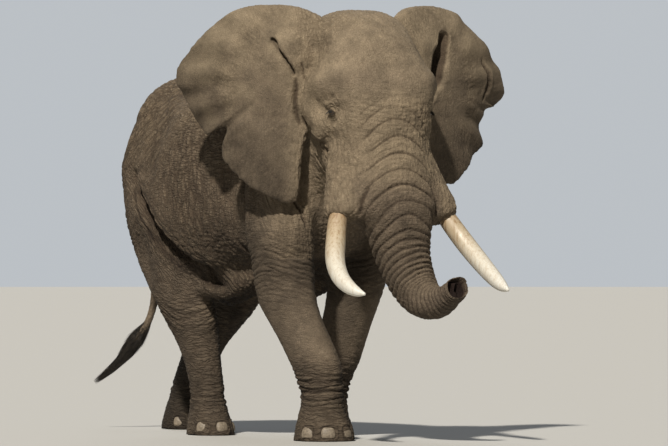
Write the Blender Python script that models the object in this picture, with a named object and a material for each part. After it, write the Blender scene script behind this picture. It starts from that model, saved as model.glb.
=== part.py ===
"""A life-size African bush elephant bull, walking with its ears half spread.

Metres, +Z up. The bull faces -Y, so its left side is +X. The flesh is lofted part by part from the tables
below, fused into one body by a voxel remesh, smoothed and modelled with brush strokes, thinned, and then
divided by thin cuts into its named parts. Tusks, eyes, nails and the tail's brush are separate pieces.
"""

import math

import bmesh
import bpy
import numpy as np
from mathutils import Matrix, Vector
from mathutils.bvhtree import BVHTree

# ---------------------------------------------------------------- driving sizes
HEAD_YAW = math.radians(11.0)  # the head is turned this far to the bull's right
HEAD_ORIGIN = (-0.03, -1.465)  # the point between the ear roots, in the body's plan
GROUND = 0.0

FLESH_VOXEL = 0.034  # the pitch at which the lofts are fused
FLESH_SMOOTHING = 5  # rounds of overall smoothing after the fusing
FLESH_TRIANGLES = 3125  # flesh triangles left for the solids
CUT = 0.0012  # the width of the cuts between parts
CLEAR = 0.0012  # the gap round a piece that sits in the flesh

# Torso rings: y, lowest z, highest z, half width, z of the widest point, roundness above and below it
TORSO = [
    (-1.36, 1.95, 2.60, 0.20, 2.24, 2.0, 2.0),
    (-1.26, 1.72, 2.86, 0.37, 2.16, 2.0, 2.0),
    (-1.08, 1.52, 3.10, 0.52, 2.06, 1.9, 2.1),
    (-0.82, 1.41, 3.20, 0.62, 1.98, 1.8, 2.2),
    (-0.45, 1.31, 3.13, 0.71, 1.95, 2.2, 2.2),
    (-0.05, 1.24, 3.03, 0.77, 1.93, 2.4, 2.3),
    (0.35, 1.21, 3.01, 0.79, 1.93, 2.3, 2.3),
    (0.70, 1.25, 3.07, 0.75, 2.00, 1.9, 2.2),
    (1.00, 1.42, 3.08, 0.66, 2.10, 1.9, 2.2),
    (1.27, 1.68, 2.94, 0.51, 2.20, 2.0, 2.1),
    (1.44, 1.95, 2.72, 0.33, 2.32, 2.0, 2.0),
    (1.53, 2.20, 2.50, 0.13, 2.36, 2.0, 2.0),
]

# Neck rings from the withers to the back of the skull: x, y, z of the middle, half width, half depth
NECK = [
    (0.00, -0.70, 2.35, 0.44, 0.66),
    (0.00, -1.00, 2.40, 0.45, 0.66),
    (-0.01, -1.25, 2.50, 0.44, 0.64),
    (-0.03, -1.48, 2.62, 0.42, 0.60),
]

# Head slices, in the head's own frame: z, back, front, half width, where it is widest, roundness of
# the front and of the back. Back, front and widest are measured forward from between the ear roots.
SKULL = [
    (3.545, -0.08, 0.10, 0.12, 0.00, 2.0, 2.0),
    (3.52, -0.20, 0.24, 0.25, 0.00, 2.0, 2.0),
    (3.44, -0.29, 0.38, 0.37, 0.02, 2.1, 2.0),
    (3.30, -0.34, 0.53, 0.425, 0.08, 2.3, 2.0),
    (3.12, -0.37, 0.66, 0.47, 0.14, 2.5, 2.0),
    (2.94, -0.37, 0.75, 0.52, 0.20, 2.6, 2.0),
    (2.76, -0.35, 0.795, 0.53, 0.22, 2.4, 2.0),
    (2.60, -0.31, 0.82, 0.49, 0.26, 2.3, 2.0),
    (2.44, -0.24, 0.85, 0.435, 0.36, 2.2, 2.1),
    (2.25, -0.12, 0.90, 0.42, 0.46, 2.2, 2.1),
    (2.08, 0.08, 0.96, 0.43, 0.56, 2.2, 2.1),
    (1.94, 0.24, 0.995, 0.425, 0.64, 2.2, 2.1),
    (1.83, 0.38, 0.99, 0.34, 0.70, 2.1, 2.1),
    (1.75, 0.48, 0.96, 0.24, 0.72, 2.0, 2.0),
]

# Trunk rings down its length, in the head's frame: left, forward, z of the middle, half width, half depth
TRUNK = [
    (0.000, 0.62, 2.35, 0.330, 0.260),
    (0.000, 0.68, 2.10, 0.320, 0.270),
    (0.012, 0.735, 1.90, 0.302, 0.262),
    (0.032, 0.765, 1.77, 0.286, 0.250),
    (0.045, 0.775, 1.65, 0.262, 0.235),
    (0.062, 0.785, 1.53, 0.237, 0.220),
    (0.100, 0.81, 1.386, 0.207, 0.202),
    (0.140, 0.865, 1.26, 0.187, 0.190),
    (0.170, 0.950, 1.178, 0.164, 0.168),
    (0.203, 1.075, 1.143, 0.143, 0.146),
    (0.232, 1.200, 1.163, 0.124, 0.126),
    (0.250, 1.310, 1.215, 0.107, 0.109),
    (0.263, 1.388, 1.262, 0.095, 0.096),
    (0.280, 1.436, 1.295, 0.089, 0.089),
]

# Tusk sheaths, in the head's frame and for the left side: left, forward, z, radius
SHEATH = [
    (0.22, 0.42, 2.42, 0.19),
    (0.31, 0.54, 2.18, 0.20),
    (0.40, 0.65, 1.98, 0.178),
    (0.452, 0.71, 1.87, 0.150),
    (0.478, 0.735, 1.815, 0.126),
]

# Lower jaw and lip, in the head's frame: forward, z of the middle, half width, half height
JAW = [
    (0.10, 2.22, 0.30, 0.26),
    (0.26, 2.08, 0.28, 0.22),
    (0.40, 1.93, 0.24, 0.17),
    (0.50, 1.80, 0.18, 0.12),
    (0.555, 1.70, 0.115, 0.085),
    (0.575, 1.645, 0.06, 0.05),
]

# Legs from the shoulder or hip to below the sole: z, x, y, half width across, half length fore and aft
FRONT_RIGHT = [
    (2.55, -0.36, -0.86, 0.16, 0.30),
    (2.25, -0.42, -0.90, 0.20, 0.36),
    (1.90, -0.465, -0.985, 0.22, 0.36),
    (1.60, -0.49, -1.06, 0.23, 0.33),
    (1.32, -0.49, -1.09, 0.225, 0.30),
    (1.12, -0.475, -1.13, 0.215, 0.285),
    (0.94, -0.435, -1.215, 0.205, 0.255),
    (0.76, -0.39, -1.31, 0.205, 0.235),
    (0.60, -0.355, -1.375, 0.20, 0.225),
    (0.44, -0.335, -1.40, 0.175, 0.20),
    (0.30, -0.325, -1.405, 0.175, 0.195),
    (0.16, -0.322, -1.41, 0.21, 0.225),
    (0.05, -0.32, -1.415, 0.235, 0.25),
    (-0.14, -0.32, -1.415, 0.24, 0.255),
]
FRONT_LEFT = [
    (2.55, 0.36, -0.80, 0.16, 0.30),
    (2.25, 0.42, -0.88, 0.20, 0.38),
    (1.90, 0.46, -0.89, 0.22, 0.37),
    (1.60, 0.47, -0.85, 0.23, 0.33),
    (1.32, 0.45, -0.81, 0.22, 0.29),
    (1.12, 0.425, -0.77, 0.205, 0.265),
    (0.94, 0.395, -0.72, 0.20, 0.24),
    (0.76, 0.372, -0.66, 0.20, 0.225),
    (0.60, 0.355, -0.605, 0.195, 0.215),
    (0.44, 0.342, -0.555, 0.175, 0.195),
    (0.30, 0.336, -0.515, 0.175, 0.195),
    (0.16, 0.33, -0.495, 0.205, 0.22),
    (0.05, 0.325, -0.485, 0.225, 0.24),
    (-0.14, 0.325, -0.485, 0.23, 0.245),
]
HIND_RIGHT = [
    (2.60, -0.33, 0.99, 0.18, 0.32),
    (2.25, -0.40, 0.95, 0.22, 0.42),
    (1.90, -0.44, 0.82, 0.245, 0.45),
    (1.60, -0.465, 0.68, 0.25, 0.42),
    (1.35, -0.465, 0.57, 0.238, 0.37),
    (1.12, -0.44, 0.47, 0.22, 0.30),
    (0.92, -0.40, 0.40, 0.195, 0.255),
    (0.74, -0.365, 0.36, 0.165, 0.205),
    (0.56, -0.34, 0.33, 0.145, 0.18),
    (0.40, -0.33, 0.30, 0.140, 0.172),
    (0.26, -0.33, 0.28, 0.148, 0.18),
    (0.13, -0.33, 0.265, 0.170, 0.21),
    (0.04, -0.33, 0.255, 0.185, 0.23),
    (-0.14, -0.33, 0.255, 0.19, 0.235),
]
HIND_LEFT = [
    (2.60, 0.33, 0.99, 0.18, 0.32),
    (2.25, 0.40, 0.98, 0.22, 0.42),
    (1.90, 0.44, 0.97, 0.245, 0.45),
    (1.60, 0.455, 0.94, 0.245, 0.42),
    (1.35, 0.45, 0.95, 0.235, 0.36),
    (1.12, 0.42, 1.03, 0.215, 0.30),
    (0.92, 0.385, 1.18, 0.19, 0.25),
    (0.74, 0.355, 1.35, 0.165, 0.212),
    (0.56, 0.338, 1.46, 0.150, 0.195),
    (0.42, 0.325, 1.535, 0.145, 0.185),
    (0.26, 0.31, 1.585, 0.152, 0.188),
    (0.13, 0.305, 1.60, 0.172, 0.215),
    (0.04, 0.30, 1.605, 0.185, 0.235),
    (-0.14, 0.30, 1.605, 0.19, 0.24),
]

# The sheath under the belly: y, z of the middle, half width, half height
BELLY_FOLD = [
    (-0.60, 1.36, 0.14, 0.10),
    (-0.20, 1.29, 0.20, 0.12),
    (0.15, 1.28, 0.20, 0.12),
    (0.38, 1.205, 0.15, 0.12),
    (0.50, 1.175, 0.10, 0.10),
    (0.60, 1.21, 0.04, 0.06),
]

# The roll of skin from the knee to the elbow, low on the left flank: x, y, z, half width, half height
FLANK_ROLL = [
    (0.34, 0.54, 1.29, 0.05, 0.05),
    (0.42, 0.36, 1.275, 0.09, 0.09),
    (0.44, 0.12, 1.27, 0.10, 0.105),
    (0.44, -0.10, 1.25, 0.11, 0.115),
    (0.42, -0.34, 1.285, 0.10, 0.10),
    (0.34, -0.56, 1.37, 0.04, 0.04),
]

# Tail from its root to the end of the dock: x, y, z, radius
TAIL = [
    (0.00, 1.36, 2.66, 0.115),
    (0.01, 1.52, 2.50, 0.090),
    (0.03, 1.64, 2.16, 0.068),
    (0.055, 1.70, 1.80, 0.052),
    (0.075, 1.725, 1.45, 0.042),
    (0.075, 1.735, 1.16, 0.036),
    (0.05, 1.765, 0.99, 0.033),
    (0.02, 1.805, 0.89, 0.036),
    (-0.02, 1.87, 0.80, 0.037),
    (-0.055, 1.93, 0.72, 0.028),
    (-0.085, 1.975, 0.655, 0.014),
]

# The brush of hair on the tail, from its root to its tip: x, y, z, half width, half thickness
BRUSH = [
    (0.046, 1.765, 0.965, 0.036, 0.034),
    (0.016, 1.808, 0.883, 0.062, 0.044),
    (-0.023, 1.874, 0.787, 0.082, 0.044),
    (-0.063, 1.940, 0.690, 0.070, 0.036),
    (-0.108, 2.015, 0.593, 0.046, 0.027),
    (-0.169, 2.115, 0.495, 0.034, 0.019),
    (-0.235, 2.225, 0.405, 0.022, 0.011),
]
BRUSH_FLAT = (-0.64, 0.45, 0.62)  # the way of its width

# Tusks from inside the sheath to the tip, in the head's frame: left, forward, z, radius
TUSK_RIGHT = [
    (-0.44, 0.69, 1.92, 0.070),
    (-0.50, 0.75, 1.797, 0.077),
    (-0.555, 0.84, 1.651, 0.081),
    (-0.60, 0.925, 1.529, 0.080),
    (-0.622, 1.005, 1.431, 0.076),
    (-0.625, 1.105, 1.341, 0.069),
    (-0.605, 1.22, 1.272, 0.056),
    (-0.575, 1.31, 1.235, 0.038),
    (-0.54, 1.38, 1.217, 0.010),
]
TUSK_LEFT = [
    (0.44, 0.67, 1.93, 0.070),
    (0.50, 0.74, 1.805, 0.076),
    (0.585, 0.845, 1.6385, 0.079),
    (0.645, 1.025, 1.474, 0.075),
    (0.675, 1.22, 1.345, 0.064),
    (0.680, 1.36, 1.280, 0.046),
    (0.672, 1.49, 1.247, 0.012),
]

# Ear outlines: how far out from the root, and z. They run from the top root back round to the throat.
EAR_RIGHT = [
    (-0.16, 3.47), (0.00, 3.55), (0.16, 3.585), (0.32, 3.59), (0.48, 3.58), (0.63, 3.53),
    (0.77, 3.43), (0.905, 3.30), (1.00, 3.18), (1.075, 3.07), (1.085, 2.965), (1.055, 2.885),
    (1.01, 2.80), (0.945, 2.68), (0.88, 2.585), (0.82, 2.515), (0.76, 2.55), (0.665, 2.575),
    (0.675, 2.50), (0.71, 2.40), (0.685, 2.315), (0.61, 2.225), (0.53, 2.14), (0.41, 2.055),
    (0.21, 1.965), (0.12, 1.945), (0.07, 1.99), (0.05, 2.10), (0.04, 2.28), (0.02, 2.43),
    (-0.05, 2.59), (-0.19, 2.85), (-0.21, 3.10), (-0.20, 3.32),
]
EAR_LEFT = [
    (-0.16, 3.47), (-0.02, 3.555), (0.12, 3.590), (0.29, 3.605), (0.45, 3.60), (0.61, 3.565),
    (0.73, 3.475), (0.82, 3.36), (0.92, 3.25), (0.99, 3.15), (1.055, 3.05), (1.09, 2.93),
    (1.095, 2.82), (1.025, 2.775), (0.935, 2.745), (0.885, 2.68), (0.875, 2.57), (0.85, 2.43),
    (0.73, 2.34), (0.65, 2.265), (0.565, 2.18), (0.47, 2.115), (0.35, 2.12), (0.21, 2.18),
    (0.08, 2.29), (-0.01, 2.42), (-0.07, 2.54), (-0.13, 2.66), (-0.18, 2.85), (-0.21, 3.05),
    (-0.20, 3.28),
]
EAR_ROOT = (0.475, 0.05)  # left and forward of the head's origin
EAR_SWEEP_RIGHT = math.radians(27.0)  # swept back from straight out
EAR_SWEEP_LEFT = math.radians(20.0)
EAR_BEND_RIGHT, EAR_BEND_LEFT = 0.42, 0.0  # how much the outer half is bent back
EAR_MIDDLE = (0.30, 2.90)  # out from the root and z, inside the outline
EAR_THICK_ROOT, EAR_THICK_RIM = 0.085, 0.026

# Brush strokes: the frame, a path of points, the brush's radius and how far it raises the surface.
# Those of the head are given for the left side, and "both" repeats them on the right.
STROKES = [
    ("head both", [(0.38, 0.66, 2.99), (0.46, 0.52, 2.97), (0.53, 0.32, 2.92)], 0.15, 0.035),  # brow
    ("head both", [(0.47, 0.56, 2.70), (0.50, 0.42, 2.71)], 0.13, -0.045),  # eye socket
    ("head both", [(0.50, 0.16, 2.72), (0.47, 0.34, 2.52)], 0.14, 0.030),  # cheekbone
    ("head both", [(0.42, 0.50, 2.50), (0.44, 0.36, 2.44), (0.42, 0.14, 2.46)], 0.09, -0.035),  # jaw crease
    ("head both", [(0.43, 0.24, 3.22), (0.46, 0.16, 3.10)], 0.17, -0.050),  # temple
    ("head both", [(0.16, 0.10, 3.55), (0.20, 0.28, 3.45)], 0.17, 0.006),  # crown
    ("head", [(0.0, 0.66, 3.10), (0.0, 0.78, 2.85)], 0.22, -0.020),  # forehead
    ("head both", [(0.33, 0.82, 2.08), (0.33, 0.83, 1.90)], 0.09, -0.020),  # between sheath and trunk
    ("head both", [(0.36, 0.16, 2.16), (0.28, 0.42, 1.92)], 0.10, -0.030),  # mouth
    ("body both", [(0.60, -0.80, 2.78), (0.66, -0.92, 2.40), (0.62, -1.12, 1.98)], 0.20, 0.030),  # blade
    ("body both", [(0.60, -0.50, 2.80), (0.68, -0.55, 2.30), (0.66, -0.60, 1.75)], 0.16, -0.030),
    ("body both", [(0.44, -1.25, 2.90), (0.50, -1.28, 2.40), (0.45, -1.30, 2.00)], 0.15, -0.030),
    ("body both", [(0.30, 0.98, 3.02), (0.52, 1.02, 2.80)], 0.22, 0.035),  # hip bone
    ("body both", [(0.62, 0.55, 2.60), (0.66, 0.60, 2.25)], 0.22, -0.040),  # flank hollow
    ("body both", [(0.46, 1.04, 2.84), (0.54, 1.10, 2.58), (0.58, 1.16, 2.34)], 0.30, 0.040),  # haunch
    ("body both", [(0.68, 0.74, 2.00), (0.74, 0.45, 1.66), (0.72, 0.10, 1.44)], 0.12, -0.035),  # fold
    ("body both", [(0.22, 1.30, 2.90), (0.30, 1.46, 2.40), (0.28, 1.40, 1.90)], 0.18, 0.020),  # rump
    ("body", [(0.0, -0.60, 3.22), (0.0, 0.2, 3.02), (0.0, 1.1, 3.06)], 0.10, 0.022),  # spine
    ("body both", [(0.70, 0.80, 1.64), (0.70, 0.70, 1.42)], 0.22, -0.050),  # back of the thigh
    ("body both", [(0.64, 0.18, 1.50), (0.60, -0.14, 1.44)], 0.20, 0.030),  # low on the belly's side
    ("body", [(-0.48, -0.84, 1.24), (-0.46, -0.90, 1.10)], 0.14, 0.035),  # right elbow
    ("body", [(0.42, -0.50, 1.22), (0.40, -0.50, 1.08)], 0.14, 0.035),  # left elbow
    ("body", [(-0.36, -1.58, 0.70), (-0.34, -1.60, 0.58)], 0.13, 0.012),  # right wrist
    ("body", [(0.36, -0.84, 0.66), (0.35, -0.80, 0.56)], 0.13, 0.012),  # left wrist
    ("body", [(-0.42, 0.16, 1.10), (-0.40, 0.16, 0.98)], 0.15, 0.030),  # right knee
    ("body", [(0.42, 0.76, 1.14), (0.40, 0.84, 1.02)], 0.15, 0.030),  # left knee
    ("body", [(-0.34, 0.53, 0.56), (-0.34, 0.50, 0.44)], 0.10, 0.012),  # right heel
    ("body", [(0.34, 1.66, 0.60), (0.33, 1.71, 0.48)], 0.10, 0.012),  # left heel
]

# Where the surface is smoothed more, so that one mass runs into the next: point, radius and rounds
MELTS = [
    ("body both", (0.52, -0.95, 2.25), 0.55, 26),  # shoulder
    ("body both", (0.50, -0.90, 1.40), 0.30, 12),  # under the shoulder
    ("body both", (0.50, 0.90, 2.30), 0.60, 26),  # hip
    ("body both", (0.55, 0.36, 1.56), 0.30, 12),  # flank
    ("body", (0.0, 0.10, 1.25), 0.40, 12),  # belly
    ("body", (0.0, -1.25, 2.40), 0.75, 22),  # neck
    ("head", (0.0, 0.62, 2.20), 0.50, 8),  # trunk root
    ("head both", (0.38, 0.66, 2.15), 0.36, 40),  # sheath
    ("head", (0.0, 0.30, 2.10), 0.45, 12),  # jaw
    ("head", (0.0, 0.80, 1.75), 0.30, 8),  # trunk
]

EYE_FROM = (0.0, 0.10, 2.69)  # the eye looks out from here, in the head's frame
EYE_TURN = math.radians(47.0)  # its direction, turned from forward towards its own side
EYE_RADIUS = 0.036
EYE_DEPTH = 0.018  # its middle lies this far under the skin

# Nails: the foot they belong to, its middle in plan, and the directions of the toes, from straight ahead
NAILS = {
    "front_right": ((-0.32, -1.40), (-66, -24, 18, 58)),
    "front_left": ((0.325, -0.48), (-58, -18, 24, 66)),
    "hind_right": ((-0.33, 0.26), (-52, -4, 44)),
    "hind_left": ((0.30, 1.61), (-44, 4, 52)),
}
NAIL_SIZE = (0.060, 0.026, 0.054)  # half width, half depth and half height of a front nail
NAIL_Z = 0.070

# Cuts. Each takes the part beyond it, along its direction, off what is left of the body: the part's name,
# a point of the cut, its direction, and the side of the cutting plate.
LEG_CUTS = [
    ("front_right", (-0.49, -1.10, 1.22), (0.0, 0.0, -1.0), 0.72),
    ("front_left", (0.46, -0.79, 1.16), (0.0, 0.0, -1.0), 0.66),
    ("hind_right", (-0.475, 0.46, 1.10), (0.0, 0.0, -1.0), 0.70),
    ("hind_left", (0.455, 1.01, 1.12), (0.0, 0.0, -1.0), 0.72),
]
LOWER_CUTS = {
    "front_right": (0.52, 0.20),
    "front_left": (0.52, 0.20),
    "hind_right": (0.62, 0.18),
    "hind_left": (0.64, 0.18),
}
NECK_CUTS = [
    ("neck", (0.0, -1.22, 2.62), (0.0, -0.953, 0.305)),
    ("head", (-0.12, 2.70), (0.976, 0.218)),  # in the head's frame: forward and z
]
TRUNK_CUTS = [  # in the head's frame: a point and a direction along the trunk
    ("trunk_upper", (0.052, 0.78, 1.60), (0.10, 0.10, -1.0), 0.80),
    ("trunk_middle", (0.115, 0.825, 1.335), (0.30, 0.30, -1.0), 0.56),
    ("trunk_curl", (0.182, 1.00, 1.158), (0.30, 1.0, -0.40), 0.42),
    ("trunk_tip", (0.240, 1.270, 1.172), (0.25, 1.0, 0.50), 0.32),
]


# ---------------------------------------------------------------- frames and curves
def head_point(left, forward, z):
    """A point of the head's frame in the body's frame."""
    cos, sin = math.cos(HEAD_YAW), math.sin(HEAD_YAW)
    x = HEAD_ORIGIN[0] + left * cos - forward * sin
    y = HEAD_ORIGIN[1] - left * sin - forward * cos
    return np.array((x, y, z))


def splined(rows, steps):
    """A smooth curve through the rows of a table, with this many steps between one row and the next."""
    rows = np.array(rows, float)
    ends = np.vstack([2 * rows[0] - rows[1], rows, 2 * rows[-1] - rows[-2]])
    found = []
    for i in range(len(rows) - 1):
        a, b, c, d = ends[i : i + 4]
        for t in np.arange(steps) / steps:
            slope_b, slope_c = (c - a) / 2, (d - b) / 2
            found.append(
                b * (2 * t**3 - 3 * t**2 + 1)
                + slope_b * (t**3 - 2 * t**2 + t)
                + c * (3 * t**2 - 2 * t**3)
                + slope_c * (t**3 - t**2)
            )
    return np.array([*found, rows[-1]])


def rounded(angle, power):
    """Cosine and sine of a superellipse: power 2 is round, and more is squarer."""
    cos, sin = np.cos(angle), np.sin(angle)
    return (
        np.sign(cos) * np.abs(cos) ** (2 / power),
        np.sign(sin) * np.abs(sin) ** (2 / power),
    )


# ---------------------------------------------------------------- meshes
def mesh_object(name, points, faces):
    """A new object of these points and faces, its normals facing out."""
    mesh = bpy.data.meshes.new(name)
    mesh.from_pydata([tuple(map(float, p)) for p in points], [], faces)
    shape = bmesh.new()
    shape.from_mesh(mesh)
    bmesh.ops.recalc_face_normals(shape, faces=shape.faces)
    shape.to_mesh(mesh)
    shape.free()
    made = bpy.data.objects.new(name, mesh)
    bpy.context.scene.collection.objects.link(made)
    return made


def loft(name, rings):
    """A closed tube through rings of points, capped at both ends."""
    rings = np.array(rings)
    count, sides = rings.shape[:2]
    faces = [
        (i * sides + j, i * sides + (j + 1) % sides, (i + 1) * sides + (j + 1) % sides, (i + 1) * sides + j)
        for i in range(count - 1)
        for j in range(sides)
    ]
    faces.append(tuple(range(sides))[::-1])
    faces.append(tuple((count - 1) * sides + j for j in range(sides)))
    return mesh_object(name, rings.reshape(-1, 3), faces)


def ring_angles(sides):
    return np.arange(sides) * 2 * math.pi / sides


def torso():
    angle = ring_angles(40)
    rings = []
    for y, low, high, half, wide, above, below in splined(TORSO, 5):
        up = np.sin(angle) >= 0
        x_up, z_up = rounded(angle, above)
        x_down, z_down = rounded(angle, below)
        x = np.where(up, x_up, x_down) * half
        z = wide + np.where(up, z_up * (high - wide), z_down * (wide - low))
        rings.append(np.stack([x, np.full_like(x, y), z], 1))
    return loft("torso", rings)


def level_rings(rows, steps, sides, roundness=2.2):
    """Rings that lie level: each row is z, x, y, half width and half length."""
    angle = ring_angles(sides)
    rings = []
    for z, x, y, across, along in splined(rows, steps):
        cos, sin = rounded(angle, roundness)
        rings.append(np.stack([x + cos * across, y + sin * along, np.full(sides, z)], 1))
    return rings


def skull():
    angle = ring_angles(36)
    rings = []
    for z, back, front, half, widest, power_front, power_back in splined(SKULL, 4):
        ahead = np.sin(angle) >= 0
        left_a, fore_a = rounded(angle, power_front)
        left_b, fore_b = rounded(angle, power_back)
        left = np.where(ahead, left_a, left_b) * half
        fore = widest + np.where(ahead, fore_a * (front - widest), fore_b * (widest - back))
        rings.append([head_point(l, f, z) for l, f in zip(left, fore, strict=True)])
    return loft("skull", rings)


def swept_rings(path, sides, side=None, power=2.0):
    """Rings square to a path. Each row is a point and two half sizes: along `side`, and the other way."""
    points, across, deep = path[:, :3], path[:, 3], path[:, 4]
    along = np.gradient(points, axis=0)
    along /= np.linalg.norm(along, axis=1)[:, None]
    reference = np.array((1.0, 0.0, 0.0) if side is None else side)
    cos, sin = rounded(ring_angles(sides), power)
    rings = []
    for point, way, a, b in zip(points, along, across, deep, strict=True):
        out = reference - way * (reference @ way)
        out /= np.linalg.norm(out)
        other = np.cross(way, out)
        rings.append(point + np.outer(cos * a, out) + np.outer(sin * b, other))
    return rings


def head_path(rows, steps):
    """A table in the head's frame, splined, as rows of x, y, z and two half sizes."""
    found = []
    for row in splined(rows, steps):
        sizes = row[3:] if len(row) > 4 else (row[3], row[3])
        found.append([*head_point(*row[:3]), *sizes])
    return np.array(found)


def head_left():
    return head_point(1, 0, 0) - head_point(0, 0, 0)


def trunk():
    return loft("trunk", swept_rings(head_path(TRUNK, 4), 28, head_left(), 2.2))


def sheath(side):
    rows = [(side * left, *rest) for left, *rest in SHEATH]
    return loft("sheath", swept_rings(head_path(rows, 3), 20, head_left()))


def jaw():
    rows = [(0.0, forward, z, half, high) for forward, z, half, high in JAW]
    return loft("jaw", swept_rings(head_path(rows, 3), 20, head_left()))


def tail():
    path = splined(TAIL, 2)
    path = np.column_stack([path, path[:, 3]])
    return loft("tail", swept_rings(path, 7))


def tail_brush():
    """The flat brush of hair: broad across the way the bull is walking."""
    path = splined(BRUSH, 1)
    return loft("tail_brush", swept_rings(path, 8, BRUSH_FLAT))


def neck():
    angle = ring_angles(32)
    rings = []
    for x, y, z, half, high in splined(NECK, 4):
        cos, sin = rounded(angle, 2.1)
        rings.append(np.stack([x + cos * half, np.full(32, y), z + sin * high], 1))
    return loft("neck", rings)


def belly_fold():
    path = splined([(0.0, y, z, half, high) for y, z, half, high in BELLY_FOLD], 4)
    return loft("belly_fold", swept_rings(path, 16))


def flank_roll(name, side):
    path = splined([(side * x, y, z, half, high) for x, y, z, half, high in FLANK_ROLL], 4)
    return loft(name, swept_rings(path, 16))


def flesh_lofts():
    return [
        torso(),
        neck(),
        skull(),
        trunk(),
        sheath(1),
        sheath(-1),
        jaw(),
        belly_fold(),
        flank_roll("flank_roll_left", 1),
        flank_roll("flank_roll_right", -1),
        loft("front_right", level_rings(FRONT_RIGHT, 4, 28)),
        loft("front_left", level_rings(FRONT_LEFT, 4, 28)),
        loft("hind_right", level_rings(HIND_RIGHT, 4, 28)),
        loft("hind_left", level_rings(HIND_LEFT, 4, 28)),
    ]


# ---------------------------------------------------------------- ears
def ear_relief(out, z, share, along, bend):
    """How far forward the ear's sheet stands: bowed, rolled back at its rim, and waved at its rear edge.

    share runs from 0 in the middle to 1 at the rim, and along is the turn round the rim, from 0 to 1.
    """
    bow = 0.045 * (1 - share**2) - 0.02 * share**4
    hang = 0.05 * max(0.0, (2.75 - z) / 0.8) ** 2
    top = -0.11 * max(0.0, (z - 3.0) / 0.6) ** 2
    rear = math.exp(-(((along - 0.40) / 0.13) ** 2))
    wave = 0.020 * rear * share**5 * math.sin(2 * math.pi * 17 * along)
    fold = 0.030 * share**2 * math.sin(5.5 * (z - 2.0) + 1.5 * out)
    return bow + hang + top + wave + fold - bend * max(0.0, out - 0.35) ** 1.3


def ear_thickness(out):
    near = max(0.0, 1 - max(out, 0.0) / 0.5)
    return EAR_THICK_RIM + (EAR_THICK_ROOT - EAR_THICK_RIM) * near**2


def ear(name, side, outline, sweep, bend, steps=8, fine=3):
    """A closed sheet from the root line to the rim: front and back faces over a polar grid."""
    rim = splined([*outline, outline[0]], fine)[:-1]
    middle = np.array(EAR_MIDDLE)
    origin = head_point(0, 0, 0)
    out_way = head_point(side * math.cos(sweep), -math.sin(sweep), 0) - origin
    front_way = head_point(side * math.sin(sweep), math.cos(sweep), 0) - origin
    root = head_point(side * EAR_ROOT[0], EAR_ROOT[1], 0)
    count = len(rim)
    points = []
    for face in (1, -1):
        for step in range(steps + 1):
            share = (step / steps) ** 0.8
            for i in range(count if step else 1):
                out, z = middle + (rim[i] - middle) * share
                thick = ear_thickness(out) * (0.4 if step == steps else 1)
                lean = ear_relief(out, z, share, i / count, bend) + face * thick / 2
                points.append(root + out_way * out + front_way * lean + np.array((0, 0, z)))
    size = 1 + count * steps
    faces = []
    for base in (0, size):
        for i in range(count):
            after = (i + 1) % count
            faces.append((base, base + 1 + i, base + 1 + after))
            for step in range(steps - 1):
                inner, outer = base + 1 + step * count, base + 1 + (step + 1) * count
                faces.append((inner + i, outer + i, outer + after, inner + after))
    edge = 1 + (steps - 1) * count
    for i in range(count):
        after = (i + 1) % count
        faces.append((edge + i, size + edge + i, size + edge + after, edge + after))
    return mesh_object(name, points, faces)


# ---------------------------------------------------------------- flesh
def quads_of(made):
    """The points and four-cornered faces of an object, as arrays."""
    mesh = made.data
    points = np.empty(len(mesh.vertices) * 3)
    mesh.vertices.foreach_get("co", points)
    corners = np.empty(len(mesh.loops), np.int64)
    mesh.loops.foreach_get("vertex_index", corners)
    return points.reshape(-1, 3), corners.reshape(-1, 4)


def fused(parts, voxel):
    """One object from several that overlap, remade as even quads."""
    shape = bmesh.new()
    for part in parts:
        shape.from_mesh(part.data)
        bpy.data.objects.remove(part)
    mesh = bpy.data.meshes.new("fused")
    shape.to_mesh(mesh)
    shape.free()
    joined = bpy.data.objects.new("fused", mesh)
    bpy.context.scene.collection.objects.link(joined)
    remesh = joined.modifiers.new("fuse", "REMESH")
    remesh.mode = "VOXEL"
    remesh.voxel_size = voxel
    remesh.use_smooth_shade = True
    return applied(joined)


def applied(made):
    """The object with its modifiers made real."""
    graph = bpy.context.evaluated_depsgraph_get()
    mesh = bpy.data.meshes.new_from_object(made.evaluated_get(graph))
    made.modifiers.clear()
    made.data = mesh
    return made


def edges_of(quads):
    ends = np.concatenate([quads[:, [0, 1]], quads[:, [1, 2]], quads[:, [2, 3]], quads[:, [3, 0]]])
    return np.unique(np.sort(ends, axis=1), axis=0)


def smoothed(points, edges, rounds, share=0.5, weight=None):
    """Points drawn this many times towards the mean of their neighbours."""
    a, b = edges[:, 0], edges[:, 1]
    count = len(points)
    degree = np.bincount(a, minlength=count) + np.bincount(b, minlength=count)
    share = share if weight is None else share * weight[:, None]
    for _ in range(rounds):
        total = np.empty_like(points)
        for axis in range(3):
            total[:, axis] = np.bincount(a, points[b, axis], count) + np.bincount(b, points[a, axis], count)
        points = points + share * (total / degree[:, None] - points)
    return points


def normals_of(points, quads):
    across = points[quads[:, 2]] - points[quads[:, 0]]
    other = points[quads[:, 3]] - points[quads[:, 1]]
    faces = np.cross(across, other)
    normals = np.zeros_like(points)
    for axis in range(3):
        for corner in range(4):
            normals[:, axis] += np.bincount(quads[:, corner], faces[:, axis], len(points))
    return normals / np.maximum(np.linalg.norm(normals, axis=1), 1e-12)[:, None]


def away_from_path(points, path):
    """Each point's distance from a path of straight lengths."""
    path = np.array(path, float)
    if len(path) == 1:
        return np.linalg.norm(points - path[0], axis=1)
    nearest = np.full(len(points), 1e9)
    for start, end in zip(path, path[1:], strict=False):
        way = end - start
        share = np.clip((points - start) @ way / (way @ way), 0, 1)
        gap = np.linalg.norm(points - start - share[:, None] * way, axis=1)
        nearest = np.minimum(nearest, gap)
    return nearest


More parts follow.
